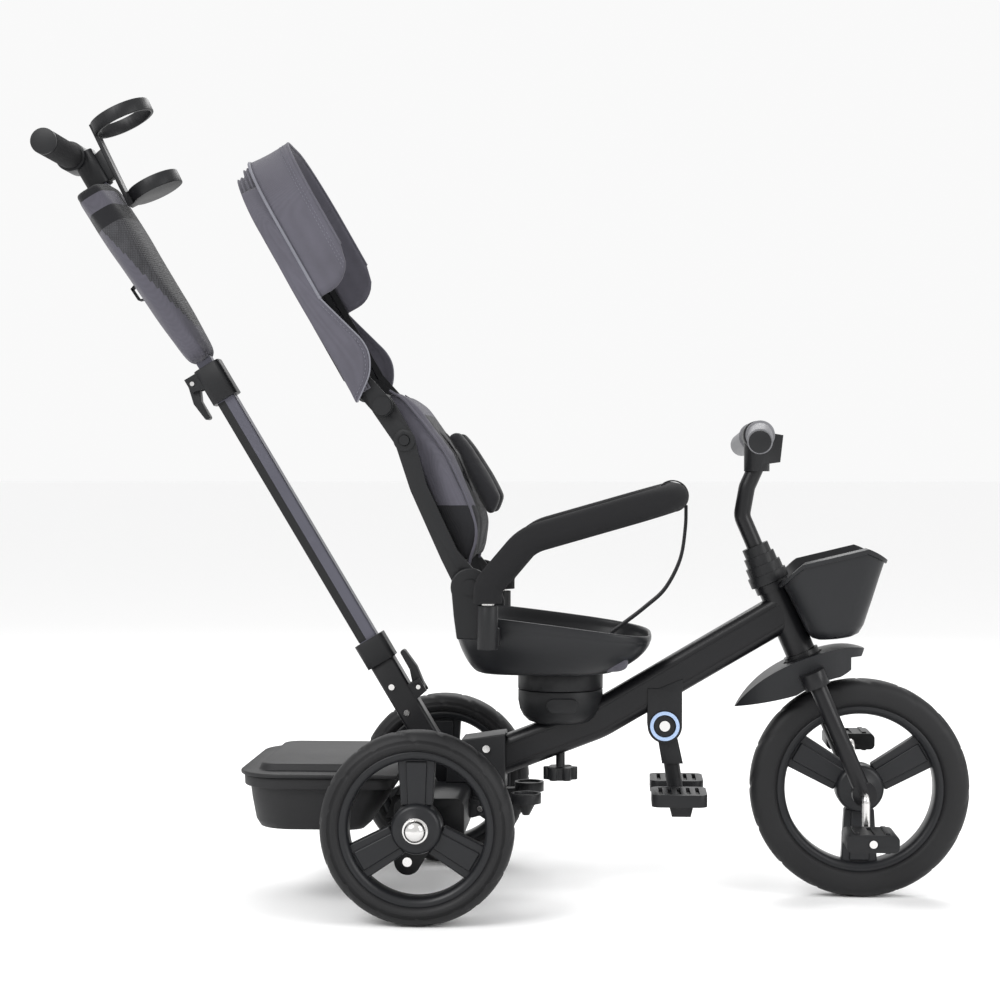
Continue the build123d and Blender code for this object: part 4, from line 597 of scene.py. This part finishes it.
# Width of each part's rounded edges, in millimetres.
ROUNDED = {
    "axle_housing": 2.5, "yoke_sleeve": 2.0, "frame_brackets": 0.8, "bin_lid": 1.6,
    "handle_receiver": 0.8, "push_bar_collars": 1.2,
    "swivel_button": 1.2, "seat_knob": 1.2, "brake_pedal_left": 0.9, "brake_pedal_right": 0.9,
    "front_fork": 1.2, "steering_covers": 1.4, "lower_lever": 1.6, "upper_lever": 1.6,
    "handle_joint": 1.4, "cup_holder": 1.0, "seat_fittings": 1.4, "backrest_shell": 1.0,
    "pedal_left": 1.2, "pedal_right": 1.2, "footrest": 1.2, "grips": 1.2,
    "handle_foam": 2.0, "rear_axle": 0.6,
}
for node, width in ROUNDED.items():
    rounded_node(node, width)


# ---------------------------------------------------------------- wheels
TREAD_PITCH = 9
TREAD_DEPTH = 2.2


def wheel(word, body, x, y, radius, tyre_inner, width, first_spoke, nodes):
    """Tyre with curved tread grooves, and a moulded rim with three broad spokes."""
    half = width / 2
    centre = (x * MM, y * MM, radius * MM)
    crown = radius
    profile = [
        (tyre_inner, -half + 5), (tyre_inner + 6, -half + 1.5), (tyre_inner + 14, -half + 0.5),
        (crown - 13, -half + 1.2), (crown - 9, -half + 2.2), (crown - 5, -half + 5),
        (crown - 2, -half + 9), (crown - 0.5, -half + 14), (crown, -half + 19),
        (crown, half - 19), (crown - 0.5, half - 14), (crown - 2, half - 9),
        (crown - 5, half - 5), (crown - 9, half - 2.2), (crown - 13, half - 1.2),
        (tyre_inner + 14, half - 0.5), (tyre_inner + 6, half - 1.5), (tyre_inner, half - 5),
    ]
    blocks = round(radius / TREAD_PITCH)

    def tread(turn, r, across):
        if r < crown - 12:
            return r
        bend = 0.55 * math.cos(math.pi * across / width) * (1 if across > 0 else -1)
        phase = (blocks * turn / (2 * math.pi) + bend) % 1.0
        groove = max(0.0, 1 - abs(phase - 0.5) / 0.09)
        centre_line = max(0.0, 1 - abs(across) / 2.5)
        return r - TREAD_DEPTH * max(groove, centre_line)

    tyre = turned(f"{word}_tyre", profile, centre, TYRE_RUBBER, 360, tread)
    place_piece(tyre, body, "tyre", nodes[0])
    ring = [
        (tyre_inner - 9, -half + 8), (tyre_inner - 4, -half + 5), (tyre_inner + 1, -half + 5.5),
        (tyre_inner + 1, half - 5.5), (tyre_inner - 4, half - 5), (tyre_inner - 9, half - 8),
        (tyre_inner - 11, half - 12), (tyre_inner - 11, -half + 12),
    ]
    rim = turned(f"{word}_rim", ring, centre, RIM_PLASTIC, 128)
    place_piece(rim, body, "rim_plastic", nodes[1])
    hub = [
        (6.2, -half + 1), (14, -half + 1), (16, -half + 3), (26, -half + 4), (30, -half + 6),
        (32, -half + 12), (32, half - 12), (30, half - 6), (26, half - 4), (16, half - 3),
        (14, half - 1), (6.2, half - 1),
    ]
    place_piece(turned(f"{word}_hub", hub, centre, RIM_PLASTIC, 64), body, "rim_plastic")
    inner, outer = 28.0, tyre_inner - 8
    for index in range(3):
        turn = math.radians(first_spoke + 120 * index)
        along = (math.cos(turn), math.sin(turn))
        across = (-math.sin(turn), math.cos(turn))
        for part, spread, reach, thick in (
            ("web", 23.0, 0.0, 9.0), ("panel", 13.0, 5.0, 12.0)
        ):
            outline = []
            for r, s in (
                (inner, -spread * 0.86), (outer - reach, -spread * 1.04),
                (outer - reach, spread * 1.04), (inner, spread * 0.86),
            ):
                outline.append((
                    x + along[0] * r + across[0] * s, radius + along[1] * r + across[1] * s
                ))
            piece = side_plate(
                f"{word}_spoke_{part}_{index}", outline, y - thick, y + thick, RIM_PLASTIC, 2.6
            )
            place_piece(piece, body, "rim_plastic")


FRONT_WHEEL = {"x": 466, "radius": 145, "tyre_inner": 110, "width": 50, "first_spoke": -90}
REAR_WHEEL = {"x": -105, "radius": 122, "tyre_inner": 97, "width": 48, "first_spoke": 90}
REAR_TRACK_HALF = 212

wheel("front", "front_wheel", y=0, nodes=("front_tyre", "front_rim"), **FRONT_WHEEL)
for word, side in (("left", 1), ("right", -1)):
    wheel(
        f"rear_{word}", f"rear_wheel_{word}", y=side * REAR_TRACK_HALF,
        nodes=(f"rear_tyre_{word}", f"rear_rim_{word}"), **REAR_WHEEL,
    )


# ---------------------------------------------------------------- lofted tubs
def plan_ring(x_low, x_high, half, rear_corner, front_corner, height, steps=9):
    """Rounded rectangle in the plan view, as points in millimetres, at heights by x."""
    ring = []
    corners = (
        (x_high, half, front_corner, 0), (x_low, half, rear_corner, 90),
        (x_low, -half, rear_corner, 180), (x_high, -half, front_corner, 270),
    )
    for x, y, corner, start in corners:
        middle_x = x - math.copysign(corner, x - (x_low + x_high) / 2)
        middle_y = y - math.copysign(corner, y)
        for step in range(steps):
            turn = math.radians(start + 90 * step / (steps - 1))
            px = middle_x + corner * math.cos(turn)
            ring.append((px, middle_y + corner * math.sin(turn), height(px)))
    return ring


def tub(name, rings, material):
    """Open moulding through rings of points, outside down and then up inside."""
    count = len(rings[0])
    points = [Vector(p) * MM for ring in rings for p in ring]
    faces = grid_faces(len(rings), count, wrap_columns=True)
    faces.append(tuple(range(count)))
    faces.append(tuple(range(count * (len(rings) - 1), count * len(rings))))
    return mesh_piece(name, points, faces, material)


def storage_bin():
    """Deep rear bin whose walls taper to its floor, with a turned-out rim."""
    rear, front, half = -344, -142, 147.5

    def level(z, inset, lean=0.0):
        return plan_ring(
            rear + inset, front - inset - lean, half - inset, 60 - inset * 0.6, 20, lambda x: z
        )

    rings = [
        level(101, 32, 24), level(103, 20, 22), level(112, 15, 17), level(140, 10, 8),
        level(157, 8, 3), level(158, 1), level(170, 0.4), level(172, 1.2), level(172, 4),
        level(160, 9.5, 3), level(140, 13, 9), level(112, 18, 19), level(106, 26, 26),
    ]
    piece = tub("storage_bin_look", rings, BIN_PLASTIC)
    place_piece(soften(piece, 0.0008, 50, 2), "frame", "bin_plastic", "storage_bin")


storage_bin()


def basket_rim(x):
    """The rim rises to a peak and falls to its front tip."""
    share = (x - 357) / 141
    return 413 + 47 * math.sin(math.pi * min(1.0, share / 1.12)) ** 0.8 + 17 * share


def basket_floor(x):
    """The floor rises a little to the front."""
    return 343 + 0.12 * (x - 404)


# Share of the basket's height, and how far inside its outline the ring lies in millimetres.
BASKET_RINGS = (
    (0.0, 7), (0.03, 2), (0.12, 0), (0.4, 0), (0.7, 0), (0.93, 0), (0.94, -2.5), (1.0, -2.5),
    (1.0, 3), (0.9, 3), (0.6, 3), (0.3, 3), (0.1, 4), (0.06, 9),
)


def basket():
    """Open front basket that widens upward to its peaked rim."""
    rings = []
    for level, wall in BASKET_RINGS:
        low = 402 - 42 * level ** 0.8 + wall
        high = 462 + 33 * level ** 0.8 - wall
        half = 55 + 14.5 * level ** 0.7 - wall
        rings.append(plan_ring(
            low, high, half, 26, 26,
            lambda x, level=level: basket_floor(x) * (1 - level) + basket_rim(x) * level,
        ))
    piece = tub("front_basket_look", rings, SEAT_PLASTIC)
    place_piece(soften(piece, 0.0008, 50, 2), "steering", "seat_plastic", "front_basket")


basket()


RING_STEPS = 72
SWIVEL_X = 68


def swivel_bowl():
    """Bowl below the seat, turned round an upright line."""
    profile = [
        (2, 229), (34, 229), (43, 232), (50, 239), (54.5, 248), (56.8, 260), (56.8, 273),
        (56, 274.6), (2, 274.6),
    ]
    points = []
    for step in range(RING_STEPS):
        turn = 2 * math.pi * step / RING_STEPS
        for r, z in profile:
            x = (SWIVEL_X + r * math.cos(turn)) * MM
            points.append((x, r * math.sin(turn) * MM, z * MM))
    faces = grid_faces(RING_STEPS, len(profile), wrap_rows=True, wrap_columns=True)
    bowl = mesh_piece("swivel_bowl", points, faces, BLACK_PLASTIC)
    place_piece(soften(bowl, 0.001, 50, 2), "frame", "black_plastic", "swivel_base")


swivel_bowl()


def push_tube_channel():
    """Black channel along the rear of the lower push tube, a little proud of it."""
    low, high = 222, 597
    outline = [(-2.0, 13.25), (-13.3, 13.25), (-13.3, -13.25), (-2.0, -13.25)]
    points = [HANDLE.at(up, out, y) for up in (low, high) for out, y in outline]
    faces = [(0, 1, 5, 4), (1, 2, 6, 5), (2, 3, 7, 6), (3, 0, 4, 7), (0, 3, 2, 1), (4, 5, 6, 7)]
    channel = soften(mesh_piece("push_tube_channel", points, faces, BLACK_PLASTIC), 0.0008)
    place_piece(channel, "frame", "black_plastic")
    for side in (-1, 1):
        line = [HANDLE.at(up, 11.6, side * 13.15) for up in (low, high)]
        edge = tube(f"push_tube_edge_{'left' if side > 0 else 'right'}", line, 0.0005, ALUMINIUM)
        place_piece(edge, "frame", "push_tube_aluminium")


push_tube_channel()


# ---------------------------------------------------------------- seat
SEAT_FLOOR = 298.5
SEAT_SQUARENESS = 0.55
SEAT_GROOVE_LEVEL = 0.8
SEAT_SEAM = 62.0
PIVOT_X, PIVOT_Z, EAR_RADIUS = -45, 417, 25


def seat_rim_height(x):
    """Height of the bucket's rim at x, in millimetres."""
    share = (x + 74) / 265
    return 384 - 26 * share - 8 * share * share + 6 * max(0, -share + 0.12) * 8


def bucket_ring(level, inset):
    """One level of the bucket in the plan view; level runs from 0 at the floor to 1."""
    swell = math.sin(min(1.0, level * 1.05) * math.pi / 2) ** 0.62
    back = -38 - 36 * swell + inset
    front = 128 + 62 * swell - inset
    half = 88 + 41.5 * swell - inset
    middle, reach = (back + front) / 2, (front - back) / 2
    points = []
    for step in range(RING_STEPS):
        turn = 2 * math.pi * step / RING_STEPS
        c, s = math.cos(turn), math.sin(turn)
        x = middle + reach * math.copysign(abs(c) ** SEAT_SQUARENESS, c)
        y = half * math.copysign(abs(s) ** SEAT_SQUARENESS, s)
        z = SEAT_FLOOR + inset * 0.9 + (seat_rim_height(x) - SEAT_FLOOR - inset * 0.9) * level
        points.append((x * MM, y * MM, z * MM))
    return points


def seat_bucket():
    """Hollow bucket with a groove below its rim, and an ear at each side for the backrest."""
    levels = (0.0, 0.04, 0.12, 0.25, 0.42, 0.6, 0.78, SEAT_GROOVE_LEVEL, 0.83, 0.9, 1.0)
    rings = [bucket_ring(level, 1.0 if level == SEAT_GROOVE_LEVEL else 0.0) for level in levels]
    rings += [bucket_ring(1.0, 4.0)]
    rings += [bucket_ring(level, 5.0) for level in reversed(levels[:-1])]
    points = [p for ring in rings for p in ring]
    faces = grid_faces(len(rings), RING_STEPS, wrap_columns=True)
    faces.append(tuple(range(RING_STEPS)))
    last = RING_STEPS * (len(rings) - 1)
    faces.append(tuple(range(last, last + RING_STEPS)))
    bucket = mesh_piece("seat_shell", points, faces, SEAT_PLASTIC)
    place_piece(subdivide(bucket), "seat", "seat_plastic", "seat_bucket")
    for word, side in (("left", 1), ("right", -1)):
        low, high = sorted((side * 122, side * 130))
        disc = []
        for angle in range(-20, 201, 10):
            turn = math.radians(angle)
            disc.append((
                PIVOT_X + EAR_RADIUS * math.cos(turn), PIVOT_Z + EAR_RADIUS * math.sin(turn)
            ))
        outline = disc + [(-66, 380), (-62, 350), (-14, 350), (-14, 384)]
        ear = side_plate(f"pivot_ear_{word}", outline, low, high, BLACK_PLASTIC, 2.5)
        place_piece(ear, "seat", "black_plastic")


seat_bucket()


def slab(name, outline, y_low, y_high, material):
    """Closed prism from a side outline, the start of a pad."""
    return side_plate(name, outline, y_low, y_high, material, 3.0)


def seat_cushion():
    """Seat pad with two long seams and a cross channel pressed into its top."""
    outline = [
        (-30, 309), (160, 309), (166, 318), (160, 327), (90, 325), (0, 326), (-34, 329), (-38, 316),
    ]
    pad = inflate(slab("seat_cushion", outline, -100, 100, GREY_FABRIC), cap=5, voxel=5)
    for vertex in pad.data.vertices:
        x, y = vertex.co.x / MM, vertex.co.y / MM
        if vertex.co.z > 0.318:
            for line in (-SEAT_SEAM, SEAT_SEAM):
                vertex.co.z -= 0.004 * max(0, 1 - abs(y - line) / 7)
            vertex.co.z -= 0.003 * max(0, 1 - abs(x - 62) / 7)
    relax(pad, 2)
    subdivide(pad)
    paint_faces(
        pad, lambda c, n: 1 if abs(c.y) < SEAT_SEAM and n.z > 0 else 0, GREY_FABRIC, BLACK_FABRIC
    )
    place_piece(pad, "seat", "grey_fabric", "seat_pad")
    routes = []
    for y in (-SEAT_SEAM, SEAT_SEAM):
        routes.append([(x * MM, y * MM, 0.3265) for x in range(-28, 150, 6)])
    stitches("seat_stitches", routes, "seat")


seat_cushion()

# ---------------------------------------------------------------- backrest
BACK_FRONT = [(-44, 446), (-36, 497), (-72, 584), (-123, 652), (-148, 671), (-157, 671)]
BACK_REAR = [(-156, 664), (-131, 613), (-111, 558), (-86, 500), (-60, 447)]
BACK_SEAM = 74
BACK_CHANNEL = 560


def back_cushion():
    """Back pad with two upright seams, a cross channel and piping along its sides."""
    pad = slab("back_cushion", BACK_FRONT + BACK_REAR, -101, 101, GREY_FABRIC)
    inflate(pad, cap=6, voxel=5)
    for vertex in pad.data.vertices:
        y = abs(vertex.co.y) / MM
        z = vertex.co.z / MM
        if vertex.normal.x > 0.2:
            vertex.co.x -= 0.005 * max(0, 1 - abs(y - BACK_SEAM) / 7)
            vertex.co.x -= 0.004 * max(0, 1 - abs(z - BACK_CHANNEL) / 8) * (y < BACK_SEAM)
    relax(pad, 2)
    subdivide(pad)
    paint_faces(
        pad,
        lambda c, n: 0 if (abs(c.y) > BACK_SEAM and c.z > 522) or c.z > 640 else 1,
        GREY_FABRIC,
        BLACK_FABRIC,
    )
    place_piece(pad, "backrest", "grey_fabric", "backrest_cushion")
    for word, y in (("left", 98), ("right", -98)):
        edge = [(x * MM - 0.004, y * MM, z * MM) for x, z in BACK_FRONT[:-1]]
        cord = tube(f"back_piping_{word}", smooth_route(edge), 0.002, GREY_FABRIC)
        place_piece(cord, "backrest", "grey_fabric")


back_cushion()


def harness():
    """Two shoulder pads, each with its strap over the back pad."""
    outline = [(-80, 612), (-66, 619), (-10, 532), (-18, 511), (-26, 509), (-62, 592)]
    pads = []
    for word, low in (("left", 28), ("right", -64)):
        pad = slab(f"harness_pad_{word}", outline, low, low + 36, BLACK_FABRIC)
        inflate(pad, cap=4, voxel=4)
        relax(pad, 1)
        subdivide(pad)
        pads.append(pad)
    place_piece(pads[0], "backrest", "black_fabric", "harness_pads")
    place_piece(pads[1], "backrest", "black_fabric")
    for word, y in (("left", 46), ("right", -46)):
        route = smooth_route([
            (-0.104, y * MM, 0.628), (-0.084, y * MM, 0.611), (-0.062, y * MM, 0.575),
            (-0.045, y * MM, 0.53), (-0.041, y * MM, 0.505), (-0.042, y * MM * 0.9, 0.475),
            (-0.05, y * MM * 0.7, 0.45),
        ])
        band = strap(f"harness_strap_{word}", route, 0.022, 0.0016, WEBBING)
        place_piece(band, "backrest", "black_fabric")


harness()

# ---------------------------------------------------------------- canopy
SIDE_STEPS = 10
CORNER_STEPS = 14


def arch_line(half, top, corner, foot):
    """Points (y, up) along a bow: up one side, round the corners and down the other."""
    upright = top - corner - foot
    right = [(-half, foot + upright * i / SIDE_STEPS) for i in range(SIDE_STEPS)]
    for i in range(CORNER_STEPS + 1):
        turn = math.pi / 2 * i / CORNER_STEPS
        y = -half + corner - corner * math.cos(turn)
        right.append((y, top - corner + corner * math.sin(turn)))
    left = [(-y, up) for y, up in reversed(right)]
    return right + left


def hood_panel(name, out_low, out_high, top, node):
    """Folded hood fabric between two bows, in soft pleats."""
    pleats = 2
    points, rows = [], 6 * pleats + 1
    line = arch_line(half=136.5, top=top, corner=102, foot=27)
    for row in range(rows):
        share = row / (rows - 1)
        out = out_low + (out_high - out_low) * share
        fold = 0.5 - 0.5 * math.cos(2 * math.pi * pleats * share)
        for i, (y, up) in enumerate(line):
            depth = fold * (3.4 + 1.6 * math.sin(i * 0.55))
            side = y - math.copysign(depth, y) * min(1.0, abs(y) / 60)
            rise = up - depth * (up > 270)
            points.append(CANOPY.at(rise, out + 0.8 * math.sin(i * 0.4), side))
    panel = mesh_piece(name, points, grid_faces(rows, len(line)), GREY_FABRIC)
    thicken(panel, 0.0011)
    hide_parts(node)
    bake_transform(panel)
    return panel


HOOD_LOOKS = [
    hood_panel(
        "hood_rear_panel", -25.5, -14, 363.5, "canopy_hood_rear"
    ),
    hood_panel(
        "hood_front_panel", -12.5, -1, 370.5, "canopy_hood_front"
    ),
]


def arch_half(up, shoulder=269, middle=33.6, radius=105):
    """Half width at this height of an arch whose round corners start at the shoulder."""
    rise = min(101.0, max(0.0, up - shoulder))
    return middle + math.sqrt(max(0.0, radius ** 2 - rise ** 2))


def side_flap(word, side):
    """Lower side of the hood: cloth that hangs from the visor's seam to a rounded tip."""
    edge = smooth_route([
        (-0.3, 0, 160), (7, 0, 134), (15, 0, 106), (20.5, 0, 84), (19, 0, 64),
        (8, 0, 44), (-10, 0, 29), (-24, 0, 19),
    ], 5)
    rear = smooth_route([
        (-25, 0, 330), (-26, 0, 250), (-27, 0, 180), (-26, 0, 110), (-25, 0, 60), (-26, 0, 19),
    ], 7)
    front = [Vector((-0.3, 0, up)) for up in (330, 300, 270, 240, 210, 185)] + edge
    columns, rows = 9, len(rear)
    points = []
    for i, back in enumerate(rear):
        place = i * (len(front) - 1) / (rows - 1)
        low = min(int(place), len(front) - 2)
        fore = front[low].lerp(front[low + 1], place - low)
        for j in range(columns):
            share = j / (columns - 1)
            spot = back.lerp(fore, share)
            crease = 1.1 * math.sin(share * 7 + spot.z * 0.035) * math.sin(math.pi * share)
            swell = 2.2 * math.sin(math.pi * share) * (spot.z < 300)
            hug = 138.6 if spot.z < 265 else arch_half(spot.z)
            points.append(CANOPY.at(spot.z, spot.x, side * (hug + swell + crease)))
    flap = mesh_piece(f"hood_flap_{word}", points, grid_faces(rows, columns), GREY_FABRIC)
    thicken(flap, 0.0012)
    subdivide(flap)
    place_piece(flap, "canopy_front", "grey_fabric")
    hem = [CANOPY.at(p.z, p.x - 0.5, side * 139.6) for p in edge]
    place_piece(tube(f"hood_flap_hem_{word}", hem, 0.0011, PIPING), "canopy_front", "grey_fabric")
    inner = [CANOPY.at(p.z + 2, p.x - 6, side * 141.4) for p in edge[3:-3]]
    stitches(f"hood_flap_stitches_{word}", [inner], "canopy_front", "grey_fabric")


for word, side in (("left", 1), ("right", -1)):
    side_flap(word, side)


def back_curtain():
    """Cloth that closes the rear bow down to the top of the backrest, black as painted shade for
    the inside of the hood.
    """
    columns, rows = 25, 25
    points = []
    for row in range(rows):
        up = 20 + 338 * row / (rows - 1)
        half = arch_half(up, 257, 29, 101.5)
        for column in range(columns):
            across = 2 * column / (columns - 1) - 1
            slack = 3.5 * (1 - across * across) * math.sin(math.pi * row / (rows - 1))
            ripple = 0.9 * math.sin(across * 11) * math.sin(up * 0.03)
            points.append(CANOPY.at(up, -21.5 - slack + ripple, across * half))
    # Painted shade: besides closing the hood's back, this black cloth stands for the shaded inside
    # of the hood.
    cloth = mesh_piece("back_curtain", points, grid_faces(rows, columns), BLACK_FABRIC)
    thicken(cloth, 0.001)
    place_piece(cloth, "backrest", "black_fabric")


back_curtain()

VISOR_DEPTH = 57.0
VISOR_TOP = 373.5
VISOR_CORNER = 104
VISOR_FLARE = 3.5


def visor_foot(share):
    """Height of the visor's lower edge: level at the seam, rounded up at the front corner."""
    rounding = max(0.0, share - 0.3) / 0.7
    return 160 + 46 * (1 - math.sqrt(max(0.0, 1 - rounding ** 2)))


def visor_sink(share, up):
    """How far the roof of the visor sinks between its two edges."""
    return 1.6 * math.sin(math.pi * share) if up > 300 else 0


def visor():
    """Stiffened visor in front of the front bow, with piped edges and double stitching."""
    rows = 11
    points = []
    for row in range(rows):
        share = row / (rows - 1)
        top = VISOR_TOP - 2 * share
        half = 137 + VISOR_FLARE * share
        for y, up in arch_line(half, top, VISOR_CORNER, visor_foot(share)):
            points.append(CANOPY.at(up - visor_sink(share, up), VISOR_DEPTH * share, y))
    columns = len(points) // rows
    sheet = mesh_piece("visor_cloth", points, grid_faces(rows, columns), GREY_FABRIC)
    thicken(sheet, 0.0022)
    place_piece(sheet, "canopy_front", "grey_fabric", "canopy_visor")
    rear_edge = [
        CANOPY.at(up, -0.5, y) for y, up in arch_line(139, VISOR_TOP + 1, VISOR_CORNER, 158)
    ]
    front_edge = [
        CANOPY.at(up, VISOR_DEPTH, y)
        for y, up in arch_line(140.5, VISOR_TOP - 2, VISOR_CORNER, visor_foot(1.0))
    ]
    rear = tube("visor_rear_piping", rear_edge, 0.0021, PIPING)
    place_piece(rear, "canopy_front", "grey_fabric")
    front = tube("visor_front_piping", front_edge, 0.0016, GREY_FABRIC)
    place_piece(front, "canopy_front", "grey_fabric")
    routes = []
    for out in (45, 49):
        share = out / VISOR_DEPTH
        top = VISOR_TOP + 1 - 2 * share
        line = arch_line(
            138.4 + VISOR_FLARE * share, top, VISOR_CORNER, visor_foot(share) + 6
        )
        routes.append([CANOPY.at(up - visor_sink(share, up), out, y) for y, up in line])
    stitches("visor_stitches", routes, "canopy_front")


visor()


# ---------------------------------------------------------------- organiser bag
def bag():
    """Tapered fabric organiser that hangs round the push bar."""
    stations = (657, 675, 700, 740, 790, 840, 880, 905, 922, 929)
    points = []
    steps = 48
    for up in stations:
        share = (up - 656) / 274
        deep = 18 + 6.5 * share + 2.0 * math.sin(math.pi * share)
        wide = 36 + 37 * share ** 0.8
        centre = -9 * share
        pinch = 0.86 if up in (657, 929) else 1.0
        for step in range(steps):
            turn = 2 * math.pi * step / steps
            c, s = math.cos(turn), math.sin(turn)
            out = centre + deep * pinch * math.copysign(abs(c) ** 0.6, c)
            y = wide * pinch * math.copysign(abs(s) ** 0.75, s)
            sag = 1.6 * math.sin(5 * turn + up * 0.05)
            points.append(HANDLE.at(up, out + (sag if abs(c) < 0.9 else 0), y))
    count = len(stations)
    faces = grid_faces(count, steps, wrap_columns=True)
    faces.append(tuple(range(steps)))
    faces.append(tuple(range(steps * (count - 1), steps * count)))
    cloth = mesh_piece("organiser", points, faces, BLACK_FABRIC)
    subdivide(cloth, 2)

    def panel(centre, normal):
        """Two black bands near the top, net at the lower front, and grey elsewhere."""
        spot = Vector(centre) * MM - HANDLE.origin
        up = spot.dot(HANDLE.up) / MM
        out = spot.dot(HANDLE.out) / MM
        if up > 866:
            return 0 if 893 < up <= 915 else 1
        line = (up - 668) * 0.23 - 22
        return 2 if out > 4 - line and up > 690 - out else 0

    paint_faces(cloth, panel, GREY_FABRIC, BLACK_FABRIC, NET_FABRIC)
    place_piece(cloth, "push_handle", "grey_fabric", "organiser_bag")
    loop = [HANDLE.at(up, out) for up, out in ((770, -22), (774, -34), (792, -35), (796, -22))]
    tag = strap("bag_tag", loop, 0.02, 0.0016, WEBBING)
    place_piece(tag, "push_handle", "black_fabric")


bag()


# ---------------------------------------------------------------- straps
BAR_X, BAR_Z, BAND_RADIUS = 0.218, 0.533, 0.0205


def crotch_strap():
    """Webbing looped round the safety bar, whose tail hangs down to the seat."""
    loop = []
    for angle in range(-35, 326, 12):
        turn = math.radians(angle)
        loop.append((
            BAR_X + BAND_RADIUS * math.cos(turn), 0, BAR_Z + BAND_RADIUS * math.sin(turn)
        ))
    hang = smooth_route([
        (0.236, 0, 0.521), (0.235, 0, 0.49), (0.228, 0, 0.448), (0.208, 0, 0.409),
        (0.181, 0, 0.384), (0.158, 0, 0.366), (0.136, 0, 0.35),
    ])
    band = strap("crotch_strap_loop", loop, 0.032, 0.0018, WEBBING)
    place_piece(band, "safety_bar", "black_fabric", "crotch_strap")
    tail = strap("crotch_strap_tail", hang, 0.034, 0.0036, WEBBING)
    place_piece(tail, "safety_bar", "black_fabric")


crotch_strap()

bpy.context.view_layer.update()
